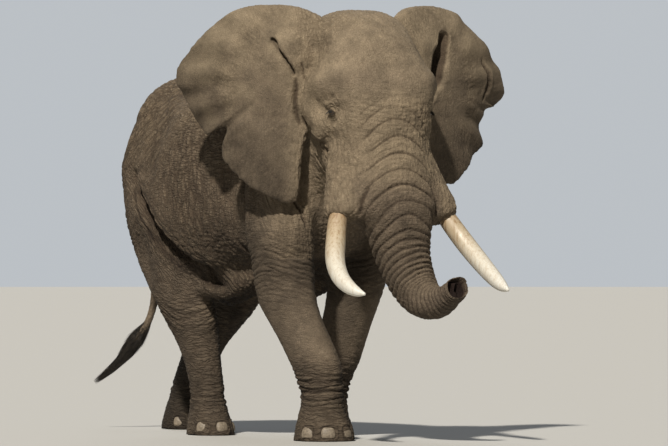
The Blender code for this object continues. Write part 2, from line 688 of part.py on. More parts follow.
def fading(distance, radius):
    """1 at no distance, falling smoothly to 0 at the radius."""
    share = np.clip(1 - distance / radius, 0, 1)
    return share * share * (3 - 2 * share)


def placed(kind, path):
    """The paths of a stroke in the body's frame: one, or one for each side."""
    sides = (1, -1) if kind.endswith("both") else (1,)
    put = head_point if kind.startswith("head") else lambda x, y, z: np.array((x, y, z))
    return [[put(side * a, b, c) for a, b, c in path] for side in sides]


def flesh():
    """The whole animal but for its ears and tail, as one smooth body of quads."""
    made = fused(flesh_lofts(), FLESH_VOXEL)
    points, quads = quads_of(made)
    edges = edges_of(quads)
    points = smoothed(points, edges, FLESH_SMOOTHING)
    for kind, centre, radius, rounds in MELTS:
        for path in placed(kind, [centre]):
            weight = fading(away_from_path(points, path), radius)
            points = smoothed(points, edges, rounds, 0.6, weight)
    for kind, path, radius, height in STROKES:
        normals = normals_of(points, quads)
        for way in placed(kind, path):
            points = points + normals * (height * fading(away_from_path(points, way), radius))[:, None]
    points = smoothed(points, edges, 2)
    made.data.vertices.foreach_set("co", points.ravel())
    made.data.update()
    made.name = "flesh"
    return made


# ---------------------------------------------------------------- solids
def triangulated(made):
    shape = bmesh.new()
    shape.from_mesh(made.data)
    bmesh.ops.triangulate(shape, faces=shape.faces)
    shape.to_mesh(made.data)
    shape.free()
    return made


def thinned(made, triangles):
    triangulated(made)
    fewer = made.modifiers.new("thin", "DECIMATE")
    fewer.ratio = triangles / len(made.data.polygons)
    return triangulated(applied(made))


def less(made, cutter):
    """The object with another's volume taken out of it. The cutter is removed."""
    cut = made.modifiers.new("cut", "BOOLEAN")
    cut.operation = "DIFFERENCE"
    cut.solver = "EXACT"
    cut.object = cutter
    applied(made)
    bpy.data.objects.remove(cutter)
    return made


def grown(made, gap):
    """A copy of the object with its surface this far out."""
    points = np.empty(len(made.data.vertices) * 3)
    made.data.vertices.foreach_get("co", points)
    points = points.reshape(-1, 3)
    normals = np.zeros_like(points)
    for vertex in made.data.vertices:
        normals[vertex.index] = vertex.normal
    copy = bpy.data.objects.new(made.name + "_room", made.data.copy())
    copy.data.vertices.foreach_set("co", (points + normals * gap).ravel())
    bpy.context.scene.collection.objects.link(copy)
    return copy


def loose(made):
    """The object's separate bodies, largest first, as new objects. The object is removed."""
    shape = bmesh.new()
    shape.from_mesh(made.data)
    shape.verts.ensure_lookup_table()
    seen, groups = set(), []
    for start in shape.verts:
        if start.index in seen:
            continue
        seen.add(start.index)
        group, ahead = [], [start]
        while ahead:
            vertex = ahead.pop()
            group.append(vertex)
            for edge in vertex.link_edges:
                other = edge.other_vert(vertex)
                if other.index not in seen:
                    seen.add(other.index)
                    ahead.append(other)
        groups.append(group)
    groups.sort(key=len, reverse=True)
    found = []
    for group in groups:
        numbers = {vertex.index: i for i, vertex in enumerate(group)}
        faces = {face for vertex in group for face in vertex.link_faces}
        faces = sorted(faces, key=lambda face: face.index)
        corners = [[numbers[v.index] for v in face.verts] for face in faces]
        if len(corners) > 3:
            mesh = bpy.data.meshes.new(made.name)
            mesh.from_pydata([tuple(v.co) for v in group], [], corners)
            piece = bpy.data.objects.new(made.name, mesh)
            bpy.context.scene.collection.objects.link(piece)
            found.append(piece)
    shape.free()
    bpy.data.objects.remove(made)
    return found


def slab(centre, normal, across, thickness=CUT):
    """A thin square plate, square to a direction, to cut with."""
    half = across / 2
    shape = bmesh.new()
    bmesh.ops.create_cube(shape, size=1.0)
    turn = Vector(normal).to_track_quat("Z", "Y").to_matrix().to_4x4()
    size = Matrix.Diagonal((2 * half, 2 * half, thickness, 1))
    shape.transform(Matrix.Translation(Vector(centre)) @ turn @ size)
    mesh = bpy.data.meshes.new("slab")
    shape.to_mesh(mesh)
    shape.free()
    made = bpy.data.objects.new("slab", mesh)
    bpy.context.scene.collection.objects.link(made)
    return made


def middle_of(made):
    return sum((vertex.co for vertex in made.data.vertices), Vector()) / len(made.data.vertices)


def split(made, name, centre, normal, across):
    """Cut a part off. The piece whose middle lies furthest along the normal takes the name."""
    pieces = loose(less(made, slab(centre, normal, across)))[:2]
    pieces.sort(key=lambda piece: (middle_of(piece) - Vector(centre)).dot(Vector(normal)))
    rest, part = pieces
    part.name = name
    return rest, part


def floor_cut(made):
    """Cut flat at the ground."""
    shape = bmesh.new()
    shape.from_mesh(made.data)
    everything = [*shape.verts, *shape.edges, *shape.faces]
    cut = bmesh.ops.bisect_plane(
        shape, geom=everything, plane_co=(0, 0, GROUND), plane_no=(0, 0, 1), clear_inner=True
    )
    rim = [item for item in cut["geom_cut"] if isinstance(item, bmesh.types.BMEdge)]
    bmesh.ops.holes_fill(shape, edges=rim)
    bmesh.ops.triangulate(shape, faces=shape.faces)
    shape.to_mesh(made.data)
    shape.free()
    return made


def clear_scene():
    for old in list(bpy.data.objects):
        bpy.data.objects.remove(old)


def head_way(left, forward, z):
    return head_point(left, forward, z) - head_point(0, 0, 0)


def surface_from(tree, start, way, reach):
    """Where a ray from inside the body last leaves it within its reach."""
    start, way = Vector(start), Vector(way)
    found, gone = None, 0.0
    while gone < reach:
        hit, _, _, _ = tree.ray_cast(start + way * gone, way, reach - gone)
        if hit is None:
            break
        found = hit
        gone = (hit - start).length + 1e-4
    return found


def ball(name, centre, turn, size, rings=5, sides=8):
    """An ellipsoid: its middle, its own axes as the columns of a matrix, and its half sizes."""
    shape = bmesh.new()
    bmesh.ops.create_uvsphere(shape, u_segments=sides, v_segments=rings, radius=1.0)
    shape.transform(Matrix.Translation(Vector(centre)) @ turn.to_4x4() @ Matrix.Diagonal((*size, 1)))
    bmesh.ops.triangulate(shape, faces=shape.faces)
    mesh = bpy.data.meshes.new(name)
    shape.to_mesh(mesh)
    shape.free()
    made = bpy.data.objects.new(name, mesh)
    bpy.context.scene.collection.objects.link(made)
    return made


def turned(way, up=(0.0, 0.0, 1.0)):
    """Axes with Y along a direction and Z as near up as it can be."""
    y = Vector(way).normalized()
    x = y.cross(Vector(up)).normalized()
    return Matrix((x, y, x.cross(y))).transposed()


def eyes(tree):
    found = []
    for name, side in (("eye_left", 1), ("eye_right", -1)):
        way = head_way(side * math.sin(EYE_TURN), math.cos(EYE_TURN), 0)
        hit = surface_from(tree, head_point(*EYE_FROM), way, 1.0)
        centre = hit - Vector(way) * EYE_DEPTH
        found.append(ball(name, centre, turned(way), (EYE_RADIUS,) * 3))
    return found


def nails(tree):
    found = {}
    for foot, ((x, y), turns) in NAILS.items():
        scale = 1.0 if foot.startswith("front") else 0.92
        found[foot] = []
        for i, degrees in enumerate(turns):
            turn = math.radians(degrees)
            way = Vector((math.sin(turn), -math.cos(turn), 0.0))
            hit = surface_from(tree, (x, y, NAIL_Z), way, 0.4)
            lie = (way + Vector((0, 0, 1)) * 0.30).normalized()
            size = [scale * half for half in NAIL_SIZE]
            name = f"nail_{foot}_{i + 1}"
            found[foot].append(ball(name, hit - way * 0.008, turned(lie), size, 4, 8))
    return found


def largest(made, name):
    """The object's largest body alone."""
    first, *rest = loose(made)
    for piece in rest:
        bpy.data.objects.remove(piece)
    first.name = name
    return first


def seated(piece, *bodies):
    """A piece with room for the bodies it touches taken out of it."""
    for body in bodies:
        piece = less(piece, grown(body, CLEAR))
    return largest(piece, piece.name)


def recentre():
    """Move everything so that the middle of the whole box stands over the origin."""
    corners = [vertex.co for made in bpy.data.objects for vertex in made.data.vertices]
    low = [min(corner[axis] for corner in corners) for axis in range(2)]
    high = [max(corner[axis] for corner in corners) for axis in range(2)]
    shift = [-(a + b) / 2 for a, b in zip(low, high, strict=True)]
    print("origin shift", shift)
    for made in bpy.data.objects:
        made.data.transform(Matrix.Translation((*shift, 0.0)))


def coloured(name, colour, roughness):
    made = bpy.data.materials.new(name)
    made.use_nodes = True
    shader = made.node_tree.nodes["Principled BSDF"]
    shader.inputs["Base Color"].default_value = (*colour, 1.0)
    shader.inputs["Roughness"].default_value = roughness
    return made


LOOKS = {  # the colour and roughness of each kind of piece, by how its name starts
    "tusk": ((0.60, 0.53, 0.40), 0.35),
    "eye": ((0.05, 0.03, 0.02), 0.10),
    "nail": ((0.22, 0.18, 0.13), 0.50),
    "tail_brush": ((0.02, 0.018, 0.015), 0.60),
}
HIDE_LOOK = ((0.20, 0.16, 0.12), 0.85)


def finish():
    """Give each piece its own material, by what it is, and smooth shading."""
    for made in list(bpy.data.objects):
        look = next((LOOKS[kind] for kind in LOOKS if made.name.startswith(kind)), HIDE_LOOK)
        made.data.materials.clear()
        made.data.materials.append(coloured(made.name + "_material", *look))
        for polygon in made.data.polygons:
            polygon.use_smooth = True
        made.data.set_sharp_from_angle(angle=math.radians(50.0))


def main():
    clear_scene()
    body = floor_cut(thinned(flesh(), FLESH_TRIANGLES))
    tree = BVHTree.FromObject(body, bpy.context.evaluated_depsgraph_get())
    eye_balls, toe_nails = eyes(tree), nails(tree)
    tusks = [
        loft("tusk_right", swept_rings(head_path(TUSK_RIGHT, 1), 10, head_left())),
        loft("tusk_left", swept_rings(head_path(TUSK_LEFT, 1), 10, head_left())),
    ]
    ears = [
        ear("ear_right", -1, EAR_RIGHT, EAR_SWEEP_RIGHT, EAR_BEND_RIGHT, 4, 1),
        ear("ear_left", 1, EAR_LEFT, EAR_SWEEP_LEFT, EAR_BEND_LEFT, 4, 1),
    ]
    ears = [seated(triangulated(made), body) for made in ears]
    tail_dock = seated(triangulated(tail()), body)
    tail_dock.name = "tail"
    brush = seated(triangulated(tail_brush()), tail_dock)

    for name, point, way, across in LEG_CUTS:
        body, leg = split(body, name, point, way, across)
        for length, z in zip(("upper", "lower"), LOWER_CUTS[name], strict=True):
            level = (middle_of(leg).x, middle_of(leg).y, z)
            part, leg = split(leg, f"{name}_foot", level, way, 3.0)
            part.name = f"{name}_{length}"
        for nail in toe_nails[name]:
            leg = less(leg, grown(nail, CLEAR))
    name, point, way = NECK_CUTS[0]
    torso_part, neck_part = split(body, name, point, way, 4.0)
    torso_part.name = "torso"
    name, (forward, z), (ahead, up) = NECK_CUTS[1]
    neck_part, head = split(neck_part, name, head_point(0, forward, z), head_way(0, ahead, up), 4.0)
    neck_part.name = "neck"
    rest = head
    for name, point, way, across in TRUNK_CUTS:
        rest_name = rest.name
        rest, part = split(rest, name, head_point(*point), head_way(*way), across)
        rest.name = rest_name
        if rest_name == "head":
            head = rest
        rest = part
    for piece in (*eye_balls, *tusks):
        head = less(head, grown(piece, CLEAR))
    recentre()
    finish()


if __name__ == "__main__":
    main()
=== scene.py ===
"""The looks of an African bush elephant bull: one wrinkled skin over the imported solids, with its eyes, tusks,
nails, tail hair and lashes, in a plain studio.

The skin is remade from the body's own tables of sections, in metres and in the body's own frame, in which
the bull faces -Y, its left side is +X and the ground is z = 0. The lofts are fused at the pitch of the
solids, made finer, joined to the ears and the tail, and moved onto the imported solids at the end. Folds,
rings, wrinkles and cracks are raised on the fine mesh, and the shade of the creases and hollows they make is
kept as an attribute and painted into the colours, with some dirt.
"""

import math
from types import SimpleNamespace

import bmesh
import bpy
import numpy as np
from mathutils import Matrix, Vector
from mathutils.bvhtree import BVHTree
from mathutils.kdtree import KDTree

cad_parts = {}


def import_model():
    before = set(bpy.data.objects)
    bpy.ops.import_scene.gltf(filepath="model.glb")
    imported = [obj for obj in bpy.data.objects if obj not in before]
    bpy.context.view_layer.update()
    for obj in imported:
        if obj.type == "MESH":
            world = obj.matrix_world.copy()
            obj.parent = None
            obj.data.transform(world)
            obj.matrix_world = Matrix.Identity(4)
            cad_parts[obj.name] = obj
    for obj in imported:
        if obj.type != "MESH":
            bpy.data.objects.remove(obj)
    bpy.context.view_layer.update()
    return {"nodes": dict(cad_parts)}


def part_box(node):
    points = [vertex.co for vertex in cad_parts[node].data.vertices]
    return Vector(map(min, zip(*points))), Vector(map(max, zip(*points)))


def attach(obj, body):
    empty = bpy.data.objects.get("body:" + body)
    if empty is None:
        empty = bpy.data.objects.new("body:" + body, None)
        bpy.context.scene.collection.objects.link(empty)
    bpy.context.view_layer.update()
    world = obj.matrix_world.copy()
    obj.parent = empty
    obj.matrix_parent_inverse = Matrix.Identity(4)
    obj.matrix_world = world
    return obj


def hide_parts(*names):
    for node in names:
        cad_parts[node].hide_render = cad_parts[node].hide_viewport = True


# ---------------------------------------------------------------- the body's sizes, as the solids have them
HEAD_YAW = math.radians(11.0)  # the head is turned this far to the bull's right
HEAD_ORIGIN = (-0.03, -1.465)  # the point between the ear roots, in the body's plan
FLESH_VOXEL = 0.034  # the pitch at which the lofts are fused
FLESH_SMOOTHING = 5  # rounds of overall smoothing after the fusing

# Torso rings: y, lowest z, highest z, half width, z of the widest point, roundness above and below it
TORSO = [
    (-1.36, 1.95, 2.60, 0.20, 2.24, 2.0, 2.0),
    (-1.26, 1.72, 2.86, 0.37, 2.16, 2.0, 2.0),
    (-1.08, 1.52, 3.10, 0.52, 2.06, 1.9, 2.1),
    (-0.82, 1.41, 3.20, 0.62, 1.98, 1.8, 2.2),
    (-0.45, 1.31, 3.13, 0.71, 1.95, 2.2, 2.2),
    (-0.05, 1.24, 3.03, 0.77, 1.93, 2.4, 2.3),
    (0.35, 1.21, 3.01, 0.79, 1.93, 2.3, 2.3),
    (0.70, 1.25, 3.07, 0.75, 2.00, 1.9, 2.2),
    (1.00, 1.42, 3.08, 0.66, 2.10, 1.9, 2.2),
    (1.27, 1.68, 2.94, 0.51, 2.20, 2.0, 2.1),
    (1.44, 1.95, 2.72, 0.33, 2.32, 2.0, 2.0),
    (1.53, 2.20, 2.50, 0.13, 2.36, 2.0, 2.0),
]

# Neck rings from the withers to the back of the skull: x, y, z of the middle, half width, half depth
NECK = [
    (0.00, -0.70, 2.35, 0.44, 0.66),
    (0.00, -1.00, 2.40, 0.45, 0.66),
    (-0.01, -1.25, 2.50, 0.44, 0.64),
    (-0.03, -1.48, 2.62, 0.42, 0.60),
]

# Head slices, in the head's own frame: z, back, front, half width, where it is widest, roundness of
# the front and of the back. Back, front and widest are measured forward from between the ear roots.
SKULL = [
    (3.545, -0.08, 0.10, 0.12, 0.00, 2.0, 2.0),
    (3.52, -0.20, 0.24, 0.25, 0.00, 2.0, 2.0),
    (3.44, -0.29, 0.38, 0.37, 0.02, 2.1, 2.0),
    (3.30, -0.34, 0.53, 0.425, 0.08, 2.3, 2.0),
    (3.12, -0.37, 0.66, 0.47, 0.14, 2.5, 2.0),
    (2.94, -0.37, 0.75, 0.52, 0.20, 2.6, 2.0),
    (2.76, -0.35, 0.795, 0.53, 0.22, 2.4, 2.0),
    (2.60, -0.31, 0.82, 0.49, 0.26, 2.3, 2.0),
    (2.44, -0.24, 0.85, 0.435, 0.36, 2.2, 2.1),
    (2.25, -0.12, 0.90, 0.42, 0.46, 2.2, 2.1),
    (2.08, 0.08, 0.96, 0.43, 0.56, 2.2, 2.1),
    (1.94, 0.24, 0.995, 0.425, 0.64, 2.2, 2.1),
    (1.83, 0.38, 0.99, 0.34, 0.70, 2.1, 2.1),
    (1.75, 0.48, 0.96, 0.24, 0.72, 2.0, 2.0),
]

# Trunk rings down its length, in the head's frame: left, forward, z of the middle, half width, half depth
TRUNK = [
    (0.000, 0.62, 2.35, 0.330, 0.260),
    (0.000, 0.68, 2.10, 0.320, 0.270),
    (0.012, 0.735, 1.90, 0.302, 0.262),
    (0.032, 0.765, 1.77, 0.286, 0.250),
    (0.045, 0.775, 1.65, 0.262, 0.235),
    (0.062, 0.785, 1.53, 0.237, 0.220),
    (0.100, 0.81, 1.386, 0.207, 0.202),
    (0.140, 0.865, 1.26, 0.187, 0.190),
    (0.170, 0.950, 1.178, 0.164, 0.168),
    (0.203, 1.075, 1.143, 0.143, 0.146),
    (0.232, 1.200, 1.163, 0.124, 0.126),
    (0.250, 1.310, 1.215, 0.107, 0.109),
    (0.263, 1.388, 1.262, 0.095, 0.096),
    (0.280, 1.436, 1.295, 0.089, 0.089),
]

# Tusk sheaths, in the head's frame and for the left side: left, forward, z, radius
SHEATH = [
    (0.22, 0.42, 2.42, 0.19),
    (0.31, 0.54, 2.18, 0.20),
    (0.40, 0.65, 1.98, 0.178),
    (0.452, 0.71, 1.87, 0.150),
    (0.478, 0.735, 1.815, 0.126),
]

# Lower jaw and lip, in the head's frame: forward, z of the middle, half width, half height
JAW = [
    (0.10, 2.22, 0.30, 0.26),
    (0.26, 2.08, 0.28, 0.22),
    (0.40, 1.93, 0.24, 0.17),
    (0.50, 1.80, 0.18, 0.12),
    (0.555, 1.70, 0.115, 0.085),
    (0.575, 1.645, 0.06, 0.05),
]

# Legs from the shoulder or hip to below the sole: z, x, y, half width across, half length fore and aft
FRONT_RIGHT = [
    (2.55, -0.36, -0.86, 0.16, 0.30),
    (2.25, -0.42, -0.90, 0.20, 0.36),
    (1.90, -0.465, -0.985, 0.22, 0.36),
    (1.60, -0.49, -1.06, 0.23, 0.33),
    (1.32, -0.49, -1.09, 0.225, 0.30),
    (1.12, -0.475, -1.13, 0.215, 0.285),
    (0.94, -0.435, -1.215, 0.205, 0.255),
    (0.76, -0.39, -1.31, 0.205, 0.235),
    (0.60, -0.355, -1.375, 0.20, 0.225),
    (0.44, -0.335, -1.40, 0.175, 0.20),
    (0.30, -0.325, -1.405, 0.175, 0.195),
    (0.16, -0.322, -1.41, 0.21, 0.225),
    (0.05, -0.32, -1.415, 0.235, 0.25),
    (-0.14, -0.32, -1.415, 0.24, 0.255),
]
FRONT_LEFT = [
    (2.55, 0.36, -0.80, 0.16, 0.30),
    (2.25, 0.42, -0.88, 0.20, 0.38),
    (1.90, 0.46, -0.89, 0.22, 0.37),
    (1.60, 0.47, -0.85, 0.23, 0.33),
    (1.32, 0.45, -0.81, 0.22, 0.29),
    (1.12, 0.425, -0.77, 0.205, 0.265),
    (0.94, 0.395, -0.72, 0.20, 0.24),
    (0.76, 0.372, -0.66, 0.20, 0.225),
    (0.60, 0.355, -0.605, 0.195, 0.215),
    (0.44, 0.342, -0.555, 0.175, 0.195),
    (0.30, 0.336, -0.515, 0.175, 0.195),
    (0.16, 0.33, -0.495, 0.205, 0.22),
    (0.05, 0.325, -0.485, 0.225, 0.24),
    (-0.14, 0.325, -0.485, 0.23, 0.245),
]
HIND_RIGHT = [
    (2.60, -0.33, 0.99, 0.18, 0.32),
    (2.25, -0.40, 0.95, 0.22, 0.42),
    (1.90, -0.44, 0.82, 0.245, 0.45),
    (1.60, -0.465, 0.68, 0.25, 0.42),
    (1.35, -0.465, 0.57, 0.238, 0.37),
    (1.12, -0.44, 0.47, 0.22, 0.30),
    (0.92, -0.40, 0.40, 0.195, 0.255),
    (0.74, -0.365, 0.36, 0.165, 0.205),
    (0.56, -0.34, 0.33, 0.145, 0.18),
    (0.40, -0.33, 0.30, 0.140, 0.172),
    (0.26, -0.33, 0.28, 0.148, 0.18),
    (0.13, -0.33, 0.265, 0.170, 0.21),
    (0.04, -0.33, 0.255, 0.185, 0.23),
    (-0.14, -0.33, 0.255, 0.19, 0.235),
]
HIND_LEFT = [
    (2.60, 0.33, 0.99, 0.18, 0.32),
    (2.25, 0.40, 0.98, 0.22, 0.42),
    (1.90, 0.44, 0.97, 0.245, 0.45),
    (1.60, 0.455, 0.94, 0.245, 0.42),
    (1.35, 0.45, 0.95, 0.235, 0.36),
    (1.12, 0.42, 1.03, 0.215, 0.30),
    (0.92, 0.385, 1.18, 0.19, 0.25),
    (0.74, 0.355, 1.35, 0.165, 0.212),
    (0.56, 0.338, 1.46, 0.150, 0.195),
    (0.42, 0.325, 1.535, 0.145, 0.185),
    (0.26, 0.31, 1.585, 0.152, 0.188),
    (0.13, 0.305, 1.60, 0.172, 0.215),
    (0.04, 0.30, 1.605, 0.185, 0.235),
    (-0.14, 0.30, 1.605, 0.19, 0.24),
]

# The sheath under the belly: y, z of the middle, half width, half height
BELLY_FOLD = [
    (-0.60, 1.36, 0.14, 0.10),
    (-0.20, 1.29, 0.20, 0.12),
    (0.15, 1.28, 0.20, 0.12),
    (0.38, 1.205, 0.15, 0.12),
    (0.50, 1.175, 0.10, 0.10),
    (0.60, 1.21, 0.04, 0.06),
]

# The roll of skin from the knee to the elbow, low on the left flank: x, y, z, half width, half height
FLANK_ROLL = [
    (0.34, 0.54, 1.29, 0.05, 0.05),
    (0.42, 0.36, 1.275, 0.09, 0.09),
    (0.44, 0.12, 1.27, 0.10, 0.105),
    (0.44, -0.10, 1.25, 0.11, 0.115),
    (0.42, -0.34, 1.285, 0.10, 0.10),
    (0.34, -0.56, 1.37, 0.04, 0.04),
]

# Tail from its root to the end of the dock: x, y, z, radius
TAIL = [
    (0.00, 1.36, 2.66, 0.115),
    (0.01, 1.52, 2.50, 0.090),
    (0.03, 1.64, 2.16, 0.068),
    (0.055, 1.70, 1.80, 0.052),
    (0.075, 1.725, 1.45, 0.042),
    (0.075, 1.735, 1.16, 0.036),
    (0.05, 1.765, 0.99, 0.033),
    (0.02, 1.805, 0.89, 0.036),
    (-0.02, 1.87, 0.80, 0.037),
    (-0.055, 1.93, 0.72, 0.028),
    (-0.085, 1.975, 0.655, 0.014),
]

# The brush of hair on the tail, from its root to its tip: x, y, z, half width, half thickness
BRUSH = [
    (0.046, 1.765, 0.965, 0.036, 0.034),
    (0.016, 1.808, 0.883, 0.062, 0.044),
    (-0.023, 1.874, 0.787, 0.082, 0.044),
    (-0.063, 1.940, 0.690, 0.070, 0.036),
    (-0.108, 2.015, 0.593, 0.046, 0.027),
    (-0.169, 2.115, 0.495, 0.034, 0.019),
    (-0.235, 2.225, 0.405, 0.022, 0.011),
]
BRUSH_FLAT = (-0.64, 0.45, 0.62)  # the way of its width

# Nails: the foot they belong to, its middle in plan, and the directions of the toes, from straight ahead
NAILS = {
    "front_right": ((-0.32, -1.40), (-66, -24, 18, 58)),
    "front_left": ((0.325, -0.48), (-58, -18, 24, 66)),
    "hind_right": ((-0.33, 0.26), (-52, -4, 44)),
    "hind_left": ((0.30, 1.61), (-44, 4, 52)),
}
NAIL_SIZE = (0.060, 0.026, 0.054)  # half width, half depth and half height of a front nail

# Tusks from inside the sheath to the tip, in the head's frame: left, forward, z, radius
TUSK_RIGHT = [
    (-0.44, 0.69, 1.92, 0.070),
    (-0.50, 0.75, 1.797, 0.077),
    (-0.555, 0.84, 1.651, 0.081),
    (-0.60, 0.925, 1.529, 0.080),
    (-0.622, 1.005, 1.431, 0.076),
    (-0.625, 1.105, 1.341, 0.069),
    (-0.605, 1.22, 1.272, 0.056),
    (-0.575, 1.31, 1.235, 0.038),
    (-0.54, 1.38, 1.217, 0.010),
]
TUSK_LEFT = [
    (0.44, 0.67, 1.93, 0.070),
    (0.50, 0.74, 1.805, 0.076),
    (0.585, 0.845, 1.6385, 0.079),
    (0.645, 1.025, 1.474, 0.075),
    (0.675, 1.22, 1.345, 0.064),
    (0.680, 1.36, 1.280, 0.046),
    (0.672, 1.49, 1.247, 0.012),
]

# Ear outlines: how far out from the root, and z. They run from the top root back round to the throat.
EAR_RIGHT = [
    (-0.16, 3.47), (0.00, 3.55), (0.16, 3.585), (0.32, 3.59), (0.48, 3.58), (0.63, 3.53),
    (0.77, 3.43), (0.905, 3.30), (1.00, 3.18), (1.075, 3.07), (1.085, 2.965), (1.055, 2.885),
    (1.01, 2.80), (0.945, 2.68), (0.88, 2.585), (0.82, 2.515), (0.76, 2.55), (0.665, 2.575),
    (0.675, 2.50), (0.71, 2.40), (0.685, 2.315), (0.61, 2.225), (0.53, 2.14), (0.41, 2.055),
    (0.21, 1.965), (0.12, 1.945), (0.07, 1.99), (0.05, 2.10), (0.04, 2.28), (0.02, 2.43),
    (-0.05, 2.59), (-0.19, 2.85), (-0.21, 3.10), (-0.20, 3.32),
]
EAR_LEFT = [
    (-0.16, 3.47), (-0.02, 3.555), (0.12, 3.590), (0.29, 3.605), (0.45, 3.60), (0.61, 3.565),
    (0.73, 3.475), (0.82, 3.36), (0.92, 3.25), (0.99, 3.15), (1.055, 3.05), (1.09, 2.93),
    (1.095, 2.82), (1.025, 2.775), (0.935, 2.745), (0.885, 2.68), (0.875, 2.57), (0.85, 2.43),
    (0.73, 2.34), (0.65, 2.265), (0.565, 2.18), (0.47, 2.115), (0.35, 2.12), (0.21, 2.18),
    (0.08, 2.29), (-0.01, 2.42), (-0.07, 2.54), (-0.13, 2.66), (-0.18, 2.85), (-0.21, 3.05),
    (-0.20, 3.28),
]
EAR_ROOT = (0.475, 0.05)  # left and forward of the head's origin
EAR_SWEEP_RIGHT = math.radians(27.0)  # swept back from straight out
EAR_SWEEP_LEFT = math.radians(20.0)
EAR_BEND_RIGHT, EAR_BEND_LEFT = 0.42, 0.0  # how much the outer half is bent back
EAR_MIDDLE = (0.30, 2.90)  # out from the root and z, inside the outline
EAR_THICK_ROOT, EAR_THICK_RIM = 0.085, 0.026

# Brush strokes: the frame, a path of points, the brush's radius and how far it raises the surface.
# Those of the head are given for the left side, and "both" repeats them on the right.
STROKES = [
    ("head both", [(0.38, 0.66, 2.99), (0.46, 0.52, 2.97), (0.53, 0.32, 2.92)], 0.15, 0.035),  # brow
    ("head both", [(0.47, 0.56, 2.70), (0.50, 0.42, 2.71)], 0.13, -0.045),  # eye socket
    ("head both", [(0.50, 0.16, 2.72), (0.47, 0.34, 2.52)], 0.14, 0.030),  # cheekbone
    ("head both", [(0.42, 0.50, 2.50), (0.44, 0.36, 2.44), (0.42, 0.14, 2.46)], 0.09, -0.035),  # jaw crease
    ("head both", [(0.43, 0.24, 3.22), (0.46, 0.16, 3.10)], 0.17, -0.050),  # temple
    ("head both", [(0.16, 0.10, 3.55), (0.20, 0.28, 3.45)], 0.17, 0.006),  # crown
    ("head", [(0.0, 0.66, 3.10), (0.0, 0.78, 2.85)], 0.22, -0.020),  # forehead
    ("head both", [(0.33, 0.82, 2.08), (0.33, 0.83, 1.90)], 0.09, -0.020),  # between sheath and trunk
    ("head both", [(0.36, 0.16, 2.16), (0.28, 0.42, 1.92)], 0.10, -0.030),  # mouth
    ("body both", [(0.60, -0.80, 2.78), (0.66, -0.92, 2.40), (0.62, -1.12, 1.98)], 0.20, 0.030),  # blade
    ("body both", [(0.60, -0.50, 2.80), (0.68, -0.55, 2.30), (0.66, -0.60, 1.75)], 0.16, -0.030),
    ("body both", [(0.44, -1.25, 2.90), (0.50, -1.28, 2.40), (0.45, -1.30, 2.00)], 0.15, -0.030),
    ("body both", [(0.30, 0.98, 3.02), (0.52, 1.02, 2.80)], 0.22, 0.035),  # hip bone
    ("body both", [(0.62, 0.55, 2.60), (0.66, 0.60, 2.25)], 0.22, -0.040),  # flank hollow
    ("body both", [(0.46, 1.04, 2.84), (0.54, 1.10, 2.58), (0.58, 1.16, 2.34)], 0.30, 0.040),  # haunch
    ("body both", [(0.68, 0.74, 2.00), (0.74, 0.45, 1.66), (0.72, 0.10, 1.44)], 0.12, -0.035),  # fold
    ("body both", [(0.22, 1.30, 2.90), (0.30, 1.46, 2.40), (0.28, 1.40, 1.90)], 0.18, 0.020),  # rump
    ("body", [(0.0, -0.60, 3.22), (0.0, 0.2, 3.02), (0.0, 1.1, 3.06)], 0.10, 0.022),  # spine
    ("body both", [(0.70, 0.80, 1.64), (0.70, 0.70, 1.42)], 0.22, -0.050),  # back of the thigh
    ("body both", [(0.64, 0.18, 1.50), (0.60, -0.14, 1.44)], 0.20, 0.030),  # low on the belly's side
    ("body", [(-0.48, -0.84, 1.24), (-0.46, -0.90, 1.10)], 0.14, 0.035),  # right elbow
    ("body", [(0.42, -0.50, 1.22), (0.40, -0.50, 1.08)], 0.14, 0.035),  # left elbow
    ("body", [(-0.36, -1.58, 0.70), (-0.34, -1.60, 0.58)], 0.13, 0.012),  # right wrist
    ("body", [(0.36, -0.84, 0.66), (0.35, -0.80, 0.56)], 0.13, 0.012),  # left wrist
    ("body", [(-0.42, 0.16, 1.10), (-0.40, 0.16, 0.98)], 0.15, 0.030),  # right knee
    ("body", [(0.42, 0.76, 1.14), (0.40, 0.84, 1.02)], 0.15, 0.030),  # left knee
    ("body", [(-0.34, 0.53, 0.56), (-0.34, 0.50, 0.44)], 0.10, 0.012),  # right heel
    ("body", [(0.34, 1.66, 0.60), (0.33, 1.71, 0.48)], 0.10, 0.012),  # left heel
]

# Where the surface is smoothed more, so that one mass runs into the next: point, radius and rounds
MELTS = [
    ("body both", (0.52, -0.95, 2.25), 0.55, 26),  # shoulder
    ("body both", (0.50, -0.90, 1.40), 0.30, 12),  # under the shoulder
    ("body both", (0.50, 0.90, 2.30), 0.60, 26),  # hip
    ("body both", (0.55, 0.36, 1.56), 0.30, 12),  # flank
    ("body", (0.0, 0.10, 1.25), 0.40, 12),  # belly
    ("body", (0.0, -1.25, 2.40), 0.75, 22),  # neck
    ("head", (0.0, 0.62, 2.20), 0.50, 8),  # trunk root
    ("head both", (0.38, 0.66, 2.15), 0.36, 40),  # sheath
    ("head", (0.0, 0.30, 2.10), 0.45, 12),  # jaw
    ("head", (0.0, 0.80, 1.75), 0.30, 8),  # trunk
]
EYE_TURN = math.radians(47.0)  # its direction, turned from forward towards its own side
EYE_RADIUS = 0.036
EYES = {"eye_right": -1, "eye_left": 1}

# ---------------------------------------------------------------- sizes of the skin
SKIN_VOXEL = 0.0085  # the pitch of the skin's mesh
LEGS = {
    "front_right": FRONT_RIGHT,
    "front_left": FRONT_LEFT,
    "hind_right": HIND_RIGHT,
    "hind_left": HIND_LEFT,
}
LEG_SIDES = {name: 1 if name.endswith("left") else -1 for name in LEGS}
MAP = "OFBake"  # the name of the map on the skin and the hair

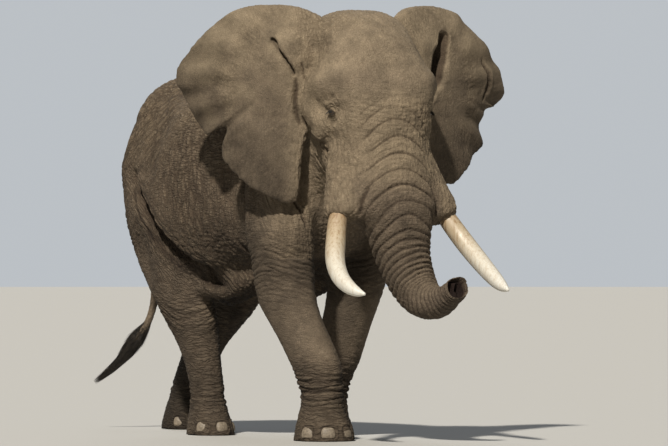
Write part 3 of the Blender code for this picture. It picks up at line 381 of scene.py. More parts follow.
# Creases: the frame, a path near the surface, how wide and deep the crease is and how high its lips stand.
# Some say how much higher one side of the crease stands, and a point on that side.
CREASES = [
    # where the ears fold onto the head
    ("head", [(-0.745, -0.06, 3.32), (-0.70, -0.02, 3.24), (-0.65, 0.025, 3.15), (-0.60, 0.062, 3.05),
      (-0.578, 0.070, 2.98)], 0.017, 0.034, 0.006, 0.030, (-0.50, 0.15, 3.25)),
    ("head", [(-0.580, 0.070, 3.00), (-0.565, 0.075, 2.90), (-0.575, 0.068, 2.77), (-0.555, 0.07, 2.66),
      (-0.53, 0.085, 2.56)], 0.024, 0.022, 0.008, 0.010, (-0.45, 0.2, 2.80)),
    ("head", [(0.884, -0.114, 3.418), (0.845, -0.06, 3.316), (0.80, -0.03, 3.214), (0.76, 0.0, 3.113),
      (0.73, 0.01, 2.99), (0.70, 0.02, 2.86)], 0.030, 0.020, 0.0),
    ("head", [(0.70, 0.02, 2.90), (0.62, 0.06, 2.76), (0.56, 0.07, 2.62)], 0.024, 0.022, 0.008),
    # folds of the temple, beside the fold of the ear
    ("head both", [(0.545, 0.115, 3.12), (0.525, 0.13, 3.03), (0.53, 0.12, 2.93)], 0.014, 0.009, 0.004),
    ("head both", [(0.50, 0.18, 3.10), (0.495, 0.19, 3.00), (0.505, 0.18, 2.92)], 0.012, 0.006, 0.003),
    # folds under the cheekbone
    ("head both", [(0.535, 0.08, 2.68), (0.50, 0.10, 2.61), (0.46, 0.14, 2.54), (0.44, 0.24, 2.48),
      (0.42, 0.38, 2.44)], 0.024, 0.022, 0.004, 0.010, (0.47, 0.30, 2.62)),
    ("head both", [(0.505, 0.15, 2.79), (0.515, 0.12, 2.72), (0.505, 0.125, 2.66), (0.475, 0.17, 2.595),
      (0.455, 0.25, 2.56)], 0.011, 0.010, 0.004),
    ("head both", [(0.45, 0.26, 2.43), (0.42, 0.36, 2.34), (0.40, 0.46, 2.22), (0.42, 0.52, 2.10)],
      0.035, 0.022, 0.004),
    # the rims of the tusk sheaths, and the sides of the trunk above them
    ("head both", [(0.46, 0.74, 1.86), (0.52, 0.70, 1.87), (0.56, 0.64, 1.90)], 0.012, 0.010, 0.004),
    ("head both", [(0.30, 0.90, 2.12), (0.33, 0.86, 1.97), (0.34, 0.84, 1.82)], 0.022, 0.016, 0.004),
    # the left ear's curled rear edge
    ("head", [(1.27, -0.17, 3.18), (1.31, -0.18, 3.05), (1.32, -0.185, 2.92), (1.29, -0.19, 2.80)],
      0.016, 0.016, 0.006, 0.018, (1.40, -0.18, 2.92)),
    # the belly's edge over the thigh: a broad valley, and finer folds in it
    ("body both", [(0.52, 1.00, 2.34), (0.61, 0.88, 2.10), (0.67, 0.69, 1.90), (0.69, 0.44, 1.68),
      (0.66, 0.17, 1.46), (0.57, -0.12, 1.30), (0.47, -0.44, 1.22)],
      0.110, 0.085, 0.0, 0.030, (0.70, 0.60, 1.50)),
    ("body both", [(0.66, 0.76, 1.84), (0.69, 0.52, 1.63), (0.66, 0.25, 1.43), (0.57, -0.02, 1.29),
      (0.48, -0.24, 1.25)], 0.100, 0.020, 0.0),
    ("body both", [(0.62, 0.78, 2.00), (0.68, 0.47, 1.70), (0.66, 0.20, 1.48), (0.58, -0.06, 1.34)],
      0.016, 0.014, 0.003),
    ("body both", [(0.66, 0.62, 2.00), (0.71, 0.38, 1.76), (0.68, 0.14, 1.57)], 0.016, 0.009, 0.004),
    ("body both", [(0.62, 0.98, 2.10), (0.70, 0.78, 1.86), (0.71, 0.55, 1.62)], 0.018, 0.009, 0.004),
    # the back of the upper arm, and the folds of the armpit
    ("body both", [(0.60, -0.66, 2.30), (0.65, -0.74, 2.05), (0.67, -0.79, 1.83), (0.62, -0.78, 1.60),
      (0.56, -0.76, 1.42)], 0.060, 0.040, 0.0, 0.045, (0.64, -1.0, 1.80)),
    ("body both", [(0.60, -0.55, 1.66), (0.62, -0.66, 1.46), (0.58, -0.72, 1.34)], 0.022, 0.012, 0.004),
    # folds of the neck
    ("body both", [(0.53, -1.33, 2.50), (0.47, -1.46, 2.30), (0.40, -1.56, 2.14)], 0.015, 0.018, 0.008),
    ("body both", [(0.55, -1.26, 2.42), (0.50, -1.42, 2.18), (0.42, -1.54, 2.00)], 0.016, 0.022, 0.008),
    ("body both", [(0.56, -1.22, 2.26), (0.51, -1.38, 2.04), (0.43, -1.50, 1.86)], 0.015, 0.018, 0.008),
    ("body both", [(0.56, -1.18, 2.10), (0.50, -1.34, 1.90), (0.42, -1.46, 1.74)], 0.014, 0.016, 0.006),
]

# Soft pits and bumps of the face: the frame, the middle, the radius and the height
DIMPLES = [
    ("head both", (0.46, 0.48, 2.905), 0.085, 0.014),  # the brow
    ("head both", (0.455, 0.45, 2.825), 0.065, -0.024),  # under the brow
    ("head both", (0.435, 0.53, 2.815), 0.060, -0.026),
    ("head both", (0.40, 0.62, 2.71), 0.090, -0.012),  # before the eye
    ("head both", (0.45, 0.52, 2.60), 0.070, -0.016),  # under the eye
    ("head both", (0.455, 0.46, 2.752), 0.055, 0.020),  # the upper lid
    ("head both", (0.44, 0.26, 2.46), 0.150, 0.045),  # the pitted skin behind the jaw
    ("head both", (0.49, 0.32, 2.66), 0.130, 0.018),  # the cheekbone
    ("head both", (0.47, 0.40, 2.90), 0.140, 0.014),  # the brow
    ("head both", (0.62, 0.08, 3.28), 0.140, 0.030),  # the root of the ear
    ("head both", (0.30, 0.72, 2.20), 0.180, 0.010),
]


def head_point(left, forward, z):
    """A point of the head's frame in the body's frame."""
    cos, sin = math.cos(HEAD_YAW), math.sin(HEAD_YAW)
    x = HEAD_ORIGIN[0] + left * cos - forward * sin
    y = HEAD_ORIGIN[1] - left * sin - forward * cos
    return np.array((x, y, z))


def splined(rows, steps):
    """A smooth curve through the rows of a table, with this many steps between one row and the next."""
    rows = np.array(rows, float)
    ends = np.vstack([2 * rows[0] - rows[1], rows, 2 * rows[-1] - rows[-2]])
    found = []
    for i in range(len(rows) - 1):
        a, b, c, d = ends[i : i + 4]
        for t in np.arange(steps) / steps:
            slope_b, slope_c = (c - a) / 2, (d - b) / 2
            found.append(
                b * (2 * t**3 - 3 * t**2 + 1)
                + slope_b * (t**3 - 2 * t**2 + t)
                + c * (3 * t**2 - 2 * t**3)
                + slope_c * (t**3 - t**2)
            )
    return np.array([*found, rows[-1]])


def rounded(angle, power):
    """Cosine and sine of a superellipse: power 2 is round, and more is squarer."""
    cos, sin = np.cos(angle), np.sin(angle)
    return (
        np.sign(cos) * np.abs(cos) ** (2 / power),
        np.sign(sin) * np.abs(sin) ** (2 / power),
    )


def linked(name, data):
    """A new object in the scene."""
    made = bpy.data.objects.new(name, data)
    bpy.context.scene.collection.objects.link(made)
    return made


def mesh_of(shape, name):
    """A new mesh of a bmesh, which is freed."""
    mesh = bpy.data.meshes.new(name)
    shape.to_mesh(mesh)
    shape.free()
    return mesh


def read(items, key, kind=float, width=1):
    """One property of all of a mesh's items, as an array with this many columns."""
    flat = np.empty(len(items) * width, kind)
    items.foreach_get(key, flat)
    return flat.reshape(-1, width) if width > 1 else flat


def mesh_object(name, points, faces):
    """A new object of these points and faces, its normals facing out."""
    mesh = bpy.data.meshes.new(name)
    mesh.from_pydata([tuple(map(float, p)) for p in points], [], faces)
    shape = bmesh.new()
    shape.from_mesh(mesh)
    bmesh.ops.recalc_face_normals(shape, faces=shape.faces)
    shape.to_mesh(mesh)
    shape.free()
    return linked(name, mesh)


def loft(name, rings):
    """A closed tube through rings of points, capped at both ends."""
    rings = np.array(rings)
    count, sides = rings.shape[:2]
    faces = [
        (i * sides + j, i * sides + (j + 1) % sides, (i + 1) * sides + (j + 1) % sides, (i + 1) * sides + j)
        for i in range(count - 1)
        for j in range(sides)
    ]
    faces.append(tuple(range(sides))[::-1])
    faces.append(tuple((count - 1) * sides + j for j in range(sides)))
    return mesh_object(name, rings.reshape(-1, 3), faces)


def ring_angles(sides):
    return np.arange(sides) * 2 * math.pi / sides


def torso():
    angle = ring_angles(40)
    rings = []
    for y, low, high, half, wide, above, below in splined(TORSO, 5):
        up = np.sin(angle) >= 0
        x_up, z_up = rounded(angle, above)
        x_down, z_down = rounded(angle, below)
        x = np.where(up, x_up, x_down) * half
        z = wide + np.where(up, z_up * (high - wide), z_down * (wide - low))
        rings.append(np.stack([x, np.full_like(x, y), z], 1))
    return loft("torso", rings)


def level_rings(rows, steps, sides, roundness=2.2):
    """Rings that lie level: each row is z, x, y, half width and half length."""
    angle = ring_angles(sides)
    rings = []
    for z, x, y, across, along in splined(rows, steps):
        cos, sin = rounded(angle, roundness)
        rings.append(np.stack([x + cos * across, y + sin * along, np.full(sides, z)], 1))
    return rings


def skull():
    angle = ring_angles(36)
    rings = []
    for z, back, front, half, widest, power_front, power_back in splined(SKULL, 4):
        ahead = np.sin(angle) >= 0
        left_a, fore_a = rounded(angle, power_front)
        left_b, fore_b = rounded(angle, power_back)
        left = np.where(ahead, left_a, left_b) * half
        fore = widest + np.where(ahead, fore_a * (front - widest), fore_b * (widest - back))
        rings.append([head_point(l, f, z) for l, f in zip(left, fore, strict=True)])
    return loft("skull", rings)


def swept_rings(path, sides, side=None, power=2.0):
    """Rings square to a path. Each row is a point and two half sizes: along `side`, and the other way."""
    points, across, deep = path[:, :3], path[:, 3], path[:, 4]
    along = np.gradient(points, axis=0)
    along /= np.linalg.norm(along, axis=1)[:, None]
    reference = np.array((1.0, 0.0, 0.0) if side is None else side)
    cos, sin = rounded(ring_angles(sides), power)
    rings = []
    for point, way, a, b in zip(points, along, across, deep, strict=True):
        out = reference - way * (reference @ way)
        out /= np.linalg.norm(out)
        other = np.cross(way, out)
        rings.append(point + np.outer(cos * a, out) + np.outer(sin * b, other))
    return rings


def head_path(rows, steps):
    """A table in the head's frame, splined, as rows of x, y, z and two half sizes."""
    found = []
    for row in splined(rows, steps):
        sizes = row[3:] if len(row) > 4 else (row[3], row[3])
        found.append([*head_point(*row[:3]), *sizes])
    return np.array(found)


def head_left():
    return head_point(1, 0, 0) - head_point(0, 0, 0)


def trunk():
    return loft("trunk", swept_rings(head_path(TRUNK, 4), 28, head_left(), 2.2))


def sheath(side):
    rows = [(side * left, *rest) for left, *rest in SHEATH]
    return loft("sheath", swept_rings(head_path(rows, 3), 20, head_left()))


def jaw():
    rows = [(0.0, forward, z, half, high) for forward, z, half, high in JAW]
    return loft("jaw", swept_rings(head_path(rows, 3), 20, head_left()))


def tail():
    path = splined(TAIL, 10)
    return loft("tail_dock", swept_rings(np.column_stack([path, path[:, 3]]), 20))


def neck():
    angle = ring_angles(32)
    rings = []
    for x, y, z, half, high in splined(NECK, 4):
        cos, sin = rounded(angle, 2.1)
        rings.append(np.stack([x + cos * half, np.full(32, y), z + sin * high], 1))
    return loft("neck", rings)


def belly_fold():
    path = splined([(0.0, y, z, half, high) for y, z, half, high in BELLY_FOLD], 4)
    return loft("belly_fold", swept_rings(path, 16))


def flank_roll(name, side):
    path = splined([(side * x, y, z, half, high) for x, y, z, half, high in FLANK_ROLL], 4)
    return loft(name, swept_rings(path, 16))


def flesh_lofts():
    return [
        torso(),
        neck(),
        skull(),
        trunk(),
        sheath(1),
        sheath(-1),
        jaw(),
        belly_fold(),
        flank_roll("flank_roll_left", 1),
        flank_roll("flank_roll_right", -1),
        *(loft(name, level_rings(rows, 4, 28)) for name, rows in LEGS.items()),
    ]


def ear_relief(out, z, share, along, bend):
    """How far forward the ear's sheet stands: bowed, rolled back at its rim, and waved at its rear edge.

    share runs from 0 in the middle to 1 at the rim, and along is the turn round the rim, from 0 to 1.
    """
    bow = 0.045 * (1 - share**2) - 0.02 * share**4
    hang = 0.05 * max(0.0, (2.75 - z) / 0.8) ** 2
    top = -0.11 * max(0.0, (z - 3.0) / 0.6) ** 2
    rear = math.exp(-(((along - 0.40) / 0.13) ** 2))
    wave = 0.020 * rear * share**5 * math.sin(2 * math.pi * 17 * along)
    fold = 0.030 * share**2 * math.sin(5.5 * (z - 2.0) + 1.5 * out)
    return bow + hang + top + wave + fold - bend * max(0.0, out - 0.35) ** 1.3


def ear_thickness(out):
    near = max(0.0, 1 - max(out, 0.0) / 0.5)
    return EAR_THICK_RIM + (EAR_THICK_ROOT - EAR_THICK_RIM) * near**2


def ear_ways(side, sweep):
    """An ear's root, and the ways out along it and forward from it."""
    out_way = head_way(side * math.cos(sweep), -math.sin(sweep), 0)
    front_way = head_way(side * math.sin(sweep), math.cos(sweep), 0)
    return head_point(side * EAR_ROOT[0], EAR_ROOT[1], 0), out_way, front_way


def ear(name, side, rim, sweep, bend):
    """A closed sheet from the root line to the rim: front and back faces over a polar grid."""
    steps = 26
    middle = np.array(EAR_MIDDLE)
    root, out_way, front_way = ear_ways(side, sweep)
    count = len(rim)
    points = []
    for face in (1, -1):
        for step in range(steps + 1):
            share = (step / steps) ** 0.8
            for i in range(count if step else 1):
                out, z = middle + (rim[i] - middle) * share
                thick = ear_thickness(out) * (0.4 if step == steps else 1)
                lean = ear_relief(out, z, share, i / count, bend) + face * thick / 2
                points.append(root + out_way * out + front_way * lean + np.array((0, 0, z)))
    size = 1 + count * steps
    faces = []
    for base in (0, size):
        for i in range(count):
            after = (i + 1) % count
            faces.append((base, base + 1 + i, base + 1 + after))
            for step in range(steps - 1):
                inner, outer = base + 1 + step * count, base + 1 + (step + 1) * count
                faces.append((inner + i, outer + i, outer + after, inner + after))
    edge = 1 + (steps - 1) * count
    for i in range(count):
        after = (i + 1) % count
        faces.append((edge + i, size + edge + i, size + edge + after, edge + after))
    return mesh_object(name, points, faces)


def quads_of(made):
    """The points and four-cornered faces of an object, as arrays."""
    mesh = made.data
    return read(mesh.vertices, "co", float, 3), read(mesh.loops, "vertex_index", np.int64).reshape(-1, 4)


def fused(parts, voxel):
    """One object from several that overlap, remade as even quads."""
    shape = bmesh.new()
    for part in parts:
        shape.from_mesh(part.data)
        bpy.data.objects.remove(part)
    joined = linked("fused", mesh_of(shape, "fused"))
    remesh = joined.modifiers.new("fuse", "REMESH")
    remesh.mode = "VOXEL"
    remesh.voxel_size = voxel
    remesh.use_smooth_shade = True
    return applied(joined)


def applied(made):
    """The object with its modifiers made real."""
    graph = bpy.context.evaluated_depsgraph_get()
    mesh = bpy.data.meshes.new_from_object(made.evaluated_get(graph))
    made.modifiers.clear()
    made.data = mesh
    return made


def edges_of(quads):
    ends = np.concatenate([quads[:, [0, 1]], quads[:, [1, 2]], quads[:, [2, 3]], quads[:, [3, 0]]])
    return np.unique(np.sort(ends, axis=1), axis=0)


def smoothed(points, edges, rounds, share=0.5, weight=None):
    """Points drawn this many times towards the mean of their neighbours."""
    a, b = edges[:, 0], edges[:, 1]
    count = len(points)
    degree = np.bincount(a, minlength=count) + np.bincount(b, minlength=count)
    share = share if weight is None else share * weight[:, None]
    for _ in range(rounds):
        total = np.empty_like(points)
        for axis in range(3):
            total[:, axis] = np.bincount(a, points[b, axis], count) + np.bincount(b, points[a, axis], count)
        points = points + share * (total / degree[:, None] - points)
    return points


def normals_of(points, quads):
    across = points[quads[:, 2]] - points[quads[:, 0]]
    other = points[quads[:, 3]] - points[quads[:, 1]]
    faces = np.cross(across, other)
    normals = np.zeros_like(points)
    for axis in range(3):
        for corner in range(4):
            normals[:, axis] += np.bincount(quads[:, corner], faces[:, axis], len(points))
    return normals / np.maximum(np.linalg.norm(normals, axis=1), 1e-12)[:, None]


def away_from_path(points, path):
    """Each point's distance from a path of straight lengths."""
    path = np.array(path, float)
    if len(path) == 1:
        return np.linalg.norm(points - path[0], axis=1)
    nearest = np.full(len(points), 1e9)
    for start, end in zip(path, path[1:], strict=False):
        way = end - start
        share = np.clip((points - start) @ way / (way @ way), 0, 1)
        gap = np.linalg.norm(points - start - share[:, None] * way, axis=1)
        nearest = np.minimum(nearest, gap)
    return nearest


def fading(distance, radius):
    """1 at no distance, falling smoothly to 0 at the radius."""
    share = np.clip(1 - distance / radius, 0, 1)
    return share * share * (3 - 2 * share)


def placed(kind, path):
    """The paths of a stroke in the body's frame: one, or one for each side."""
    sides = (1, -1) if kind.endswith("both") else (1,)
    put = head_point if kind.startswith("head") else lambda x, y, z: np.array((x, y, z))
    return [[put(side * a, b, c) for a, b, c in path] for side in sides]


def flesh():
    """The whole animal but for its ears and tail, as one smooth body of quads."""
    made = fused(flesh_lofts(), FLESH_VOXEL)
    points, quads = quads_of(made)
    edges = edges_of(quads)
    points = smoothed(points, edges, FLESH_SMOOTHING)
    for kind, centre, radius, rounds in MELTS:
        for path in placed(kind, [centre]):
            weight = fading(away_from_path(points, path), radius)
            points = smoothed(points, edges, rounds, 0.6, weight)
    for kind, path, radius, height in STROKES:
        normals = normals_of(points, quads)
        for way in placed(kind, path):
            points = points + normals * (height * fading(away_from_path(points, way), radius))[:, None]
    points = smoothed(points, edges, 2)
    made.data.vertices.foreach_set("co", points.ravel())
    made.data.update()
    made.name = "flesh"
    return made


def head_way(left, forward, z):
    return head_point(left, forward, z) - head_point(0, 0, 0)


# ---------------------------------------------------------------- numbers
def smooth_step(value, start, end):
    """0 up to the start, 1 from the end on, and smooth between. The start may be the larger."""
    share = np.clip((value - start) / (end - start), 0, 1)
    return share * share * (3 - 2 * share)


def unit(vectors):
    return vectors / np.maximum(np.linalg.norm(vectors, axis=-1, keepdims=True), 1e-12)


def hashed(cells, seed):
    """Even random numbers from 0 to 1, the same each time for the same whole-number cells and seed."""
    mixed = cells[:, 0] * 374761393 + cells[:, 1] * 668265263 + cells[:, 2] * 1440662683 + seed * 974634777
    mixed = ((mixed ^ (mixed >> 13)) & 0xFFFFFFFF) * 1274126177
    mixed = (mixed ^ (mixed >> 16)) & 0xFFFFFF
    return mixed / 0x1000000


def noise(points, pitch, seed=0):
    """Smooth noise from -1 to 1, with its bumps about a pitch apart."""
    scaled = points / pitch
    low = np.floor(scaled).astype(np.int64)
    part = scaled - low
    part = part * part * (3 - 2 * part)
    total = np.zeros(len(points))
    for corner in np.ndindex(2, 2, 2):
        share = np.prod(np.where(corner, part, 1 - part), axis=1)
        total += share * hashed(low + np.array(corner), seed)
    return total * 2 - 1


def wobbled(points, pitch, size, seed):
    """Points moved about by noise."""
    return points + size * np.stack([noise(points, pitch, seed + axis) for axis in range(3)], 1)


def stretched(points, way, times):
    """Points drawn together along a direction, so that their cells come out this many times as long."""
    way = unit(np.array(way, float))
    return points - (1 - 1 / times) * (points @ way)[:, None] * way


def cells(points, seed):
    """Each point's distances from the nearest and second nearest of one random spot in each unit cell."""
    low = np.floor(points).astype(np.int64)
    first = np.full(len(points), 9.0)
    second = np.full(len(points), 9.0)
    for step in np.ndindex(3, 3, 3):
        cell = low + (np.array(step) - 1)
        away = cell - points
        for axis in range(3):
            away[:, axis] += hashed(cell, seed + 7 * axis)
        gap = np.sqrt((away * away).sum(1))
        second = np.minimum(second, np.maximum(first, gap))
        first = np.minimum(first, gap)
    return first, second


# ---------------------------------------------------------------- the skin's mesh
def ragged(outline, side):
    """The points of an ear's outline, with the small notches and waves of its rear and lower edge."""
    rim = splined([*outline, outline[0]], 9)[:-1]
    turn = np.arange(len(rim)) / len(rim)
    rear = smooth_step(turn, 0.12, 0.25) * smooth_step(turn, 0.80, 0.70)
    spots = np.stack([rim[:, 0], rim[:, 1], np.full(len(rim), 5.0 * side)], 1)
    size = 0.010 * noise(spots, 0.060, 3) + 0.005 * noise(spots, 0.024, 4)
    return rim + unit(rim - np.array(EAR_MIDDLE)) * (size * rear)[:, None]


def joined_skin():
    """Flesh, ears and tail as one closed surface of even quads, and trees to tell ears and tail by."""
    body = flesh()
    finer = body.modifiers.new("finer", "SUBSURF")
    finer.levels = finer.render_levels = 2
    applied(body)
    grown = {
        "ear_right": ear("ear_right_sheet", -1, ragged(EAR_RIGHT, -1), EAR_SWEEP_RIGHT, EAR_BEND_RIGHT),
        "ear_left": ear("ear_left_sheet", 1, ragged(EAR_LEFT, 1), EAR_SWEEP_LEFT, EAR_BEND_LEFT),
        "tail": tail(),
    }
    graph = bpy.context.evaluated_depsgraph_get()
    trees = {name: BVHTree.FromObject(made, graph) for name, made in grown.items()}
    return fused([body, *grown.values()], SKIN_VOXEL), trees


def floored_and_finer(made, spots):
    """The skin cut flat at the ground, and divided once more round each spot for each radius given."""
    shape = bmesh.new()
    shape.from_mesh(made.data)
    low = [v for v in shape.verts if v.co.z < 0.03]
    near = {e for v in low for e in v.link_edges} | {f for v in low for f in v.link_faces} | set(low)
    ground = {"plane_co": (0, 0, 0), "plane_no": (0, 0, 1)}
    cut = bmesh.ops.bisect_plane(shape, geom=list(near), clear_inner=True, **ground)
    rim = [item for item in cut["geom_cut"] if isinstance(item, bmesh.types.BMEdge)]
    bmesh.ops.delete(shape, geom=[v for v in shape.verts if v.co.z < -1e-4], context="VERTS")
    soles = bmesh.ops.holes_fill(shape, edges=rim)["faces"]
    bmesh.ops.triangulate(shape, faces=soles)
    for centre, radii in spots:
        centre = Vector(centre)
        for radius in radii:
            inside = {v for v in shape.verts if (v.co - centre).length < radius}
            edges = {e for v in inside for e in v.link_edges if e.other_vert(v) in inside}
            bmesh.ops.subdivide_edges(shape, edges=list(edges), cuts=1, use_grid_fill=True)
    shape.to_mesh(made.data)
    shape.free()


class Surface:
    """The skin's mesh as arrays: its points and edges, how much painted shade each point gets from its creases
    and hollows, with some dirt, from 0 to 1, and how far inside the trunk's end, where shade is painted too."""

    def __init__(self, made):
        self.made = made
        self.points = read(made.data.vertices, "co", float, 3)
        self.edges = read(made.data.edges, "vertices", np.int64, 2)
        self.count = len(self.points)
        self.shade_and_dirt = np.zeros(self.count)
        self.inside = np.zeros(self.count)

    def store(self):
        self.made.data.vertices.foreach_set("co", self.points.ravel())
        self.made.data.update()

    def normals(self):
        self.store()
        return read(self.made.data.vertex_normals, "vector", np.float32, 3).astype(float)

    def smooth(self, rounds, weight=None, share=0.5):
        """Smooth all of it, or only where there is weight."""
        if weight is None:
            self.points = smoothed(self.points, self.edges, rounds, share)
            return
        near = weight > 0.01
        used = near[self.edges[:, 0]] | near[self.edges[:, 1]]
        here = np.unique(self.edges[used])
        number = np.full(self.count, -1)
        number[here] = np.arange(len(here))
        self.points[here] = smoothed(self.points[here], number[self.edges[used]], rounds, share, weight[here])

    def lift(self, heights):
        self.points = self.points + self.normals() * heights[:, None]

    def darken(self, values, near=slice(None)):
        """Raise the painted shade of creases and hollows, with some dirt, to at least these values, of all the
        points or of some.
        """
        self.shade_and_dirt[near] = np.maximum(self.shade_and_dirt[near], values)


def near_tree(points, tree, reach):
    """Which points lie within reach of a shape."""
    found = np.zeros(len(points), bool)
    for i, point in enumerate(points):
        found[i] = tree.find_nearest(point, reach)[0] is not None
    return found


# ---------------------------------------------------------------- where the skin's points are
def in_head(points):
    """Points of the body's frame in the head's frame: left, forward, z."""
    cos, sin = math.cos(HEAD_YAW), math.sin(HEAD_YAW)
    x, y = points[:, 0] - HEAD_ORIGIN[0], points[:, 1] - HEAD_ORIGIN[1]
    return np.stack([x * cos - y * sin, -x * sin - y * cos, points[:, 2]], 1)


def along_path(points, rows, reference):
    """Places along a path of x, y, z and two half sizes: how far down it, the offsets along the reference and
    square to it, and how far out as a share of the half sizes there."""
    middle = rows[:, :3]
    down = unit(np.gradient(middle, axis=0))
    side = unit(reference - down * (down @ reference)[:, None])
    ahead = np.cross(down, side)
    run = np.concatenate([[0], np.cumsum(np.linalg.norm(np.diff(middle, axis=0), axis=1))])
    nearest = np.zeros(len(points), np.int64)
    for start in range(0, len(points), 20000):
        block = points[start : start + 20000]
        gaps = ((block[:, None] - middle[None]) ** 2).sum(2)
        nearest[start : start + 20000] = gaps.argmin(1)
    off = points - middle[nearest]
    beyond = (off * down[nearest]).sum(1)
    across = (off * side[nearest]).sum(1)
    other = (off * ahead[nearest]).sum(1)
    share = np.hypot(across / rows[nearest, 3], other / rows[nearest, 4])
    return SimpleNamespace(run=run[nearest] + beyond, across=across, ahead=other, share=share)


def leg_places(points, rows):
    """Places round a leg: the offsets from its middle at that height, the turn from straight ahead, and how
    far out as a share of its half sizes."""
    rows = splined(rows, 4)[::-1]
    x, y, half, long = (np.interp(points[:, 2], rows[:, 0], rows[:, column]) for column in (1, 2, 3, 4))
    across, back = points[:, 0] - x, points[:, 1] - y
    share = np.hypot(across / half, back / long)
    return SimpleNamespace(across=across, back=back, turn=np.arctan2(across, -back), share=share)


def ear_places(points, side, sweep):
    """Places on an ear: how far out from its root, how far forward of its plane, and z."""
    root, out_way, front_way = ear_ways(side, sweep)
    off = points - root
    return SimpleNamespace(out=off @ out_way, lean=off @ front_way, z=points[:, 2], front_way=front_way)


TREE_REACH = 0.016  # how near a sheet or the tail the skin counts as theirs


def where_ears(points, trees):
    """The places on each ear, each with its weight, which is 0 off the ear."""
    found = {}
    for name, side, sweep in (("ear_right", -1, EAR_SWEEP_RIGHT), ("ear_left", 1, EAR_SWEEP_LEFT)):
        place = ear_places(points, side, sweep)
        box = (place.out > 0.0) & (np.abs(place.lean) < 0.55) & (points[:, 2] > 1.85)
        on = np.zeros(len(points), bool)
        on[box] = near_tree(points[box], trees[name], TREE_REACH)
        place.weight = on * smooth_step(place.out, -0.02, 0.26)
        found[name] = place
    return found


def where_legs(points):
    """The places round each leg, each with its weight, which is 0 off the leg."""
    found = {}
    for name, rows in LEGS.items():
        place = leg_places(points, rows)
        on = (points[:, 0] * LEG_SIDES[name] > -0.06) & (place.share < 1.5) & (points[:, 2] < 2.3)
        top = 2.1 if name.startswith("front") else 1.75
        place.weight = on * smooth_step(place.share, 1.5, 1.2) * smooth_step(points[:, 2], top, 1.3)
        found[name] = place
    return found


def where(surface, trees):
    """The weights and places of every part of the skin."""
    points = surface.points
    head = in_head(points)
    found = SimpleNamespace(head=head, ears=where_ears(points, trees), legs=where_legs(points))
    found.ear = np.max([place.weight for place in found.ears.values()], axis=0)
    found.leg = np.max([place.weight for place in found.legs.values()], axis=0)

    back_half = points[:, 1] > 1.2
    rump = points[back_half]
    found.tail = np.zeros(surface.count)
    found.tail[back_half] = near_tree(rump, trees["tail"], TREE_REACH) * smooth_step(rump[:, 2], 2.62, 2.48)
    found.flesh = (1 - found.ear) * (1 - found.tail)

    near = (head[:, 1] > 0.25) & (head[:, 2] < 2.95) & (np.abs(head[:, 0]) < 0.62)
    trunk_place = along_path(points[near], head_path(TRUNK, 12), head_left())
    found.trunk = SimpleNamespace(near=near, **vars(trunk_place))
    found.trunk.turn = np.arctan2(trunk_place.across, trunk_place.ahead)
    found.trunk.weight = smooth_step(trunk_place.share, 1.42, 1.15) * found.flesh[near]
    found.trunk_weight = np.zeros(surface.count)
    found.trunk_weight[near] = found.trunk.weight * smooth_step(trunk_place.run, 0.10, 0.55)

    above = smooth_step(head[:, 1], -0.30, 0.02) * (head[:, 2] > 1.5)
    found.head_weight = above * found.flesh * (1 - found.trunk_weight)
    neck_zone = smooth_step(points[:, 1], -0.90, -1.10) * (points[:, 2] > 1.35)
    rest = found.flesh * (1 - found.leg) * (1 - found.head_weight) * (1 - found.trunk_weight)
    found.neck = neck_zone * rest
    found.torso = (1 - neck_zone) * rest
    return found


# ---------------------------------------------------------------- folds
def on_surface(surface, path, tree):
    """A path laid on the surface: a spline, each of its points moved to the nearest point of the skin."""
    return np.array([surface.points[tree.find(tuple(point))[1]] for point in splined(path, 10)])


def vertex_tree(points):
    tree = KDTree(len(points))
    for i, point in enumerate(points):
        tree.insert(point, i)
    tree.balance()
    return tree


def line_places(points, line):
    """Each point's distance from a line, the nearest spot on it, its share along, and the line's way."""
    away = np.full(len(points), 1e9)
    share = np.zeros(len(points))
    spot = np.zeros_like(points)
    way = np.zeros_like(points)
    for i, (start, end) in enumerate(zip(line, line[1:], strict=False)):
        length = end - start
        at = np.clip((points - start) @ length / max(length @ length, 1e-12), 0, 1)
        here = start + at[:, None] * length
        gap = np.linalg.norm(points - here, axis=1)
        closer = gap < away
        away = np.where(closer, gap, away)
        share = np.where(closer, (i + at) / (len(line) - 1), share)
        spot[closer] = here[closer]
        way[closer] = length
    return SimpleNamespace(away=away, spot=spot, share=share, way=unit(way))


STEP_REACH = 0.30  # how far from a crease its raised side is raised


def raised_side(points, normals, at, line, width, step, high_side):
    """The heights that raise one side of a crease by a step, fading away from it and towards its ends."""
    square = np.cross(normals, at.way)
    side = ((points - at.spot) * square).sum(1)
    mid = np.abs(at.share - 0.5).argmin()
    signed = side * np.sign((high_side - at.spot[mid]) @ square[mid])
    run = line[-1] - line[0]
    along = (points - line[0]) @ run / (run @ run)
    ends = smooth_step(along, 0.0, 0.35) * smooth_step(along, 1.0, 0.65)
    return step * smooth_step(signed, -0.4 * width, 0.6 * width) * fading(at.away, STEP_REACH) * ends


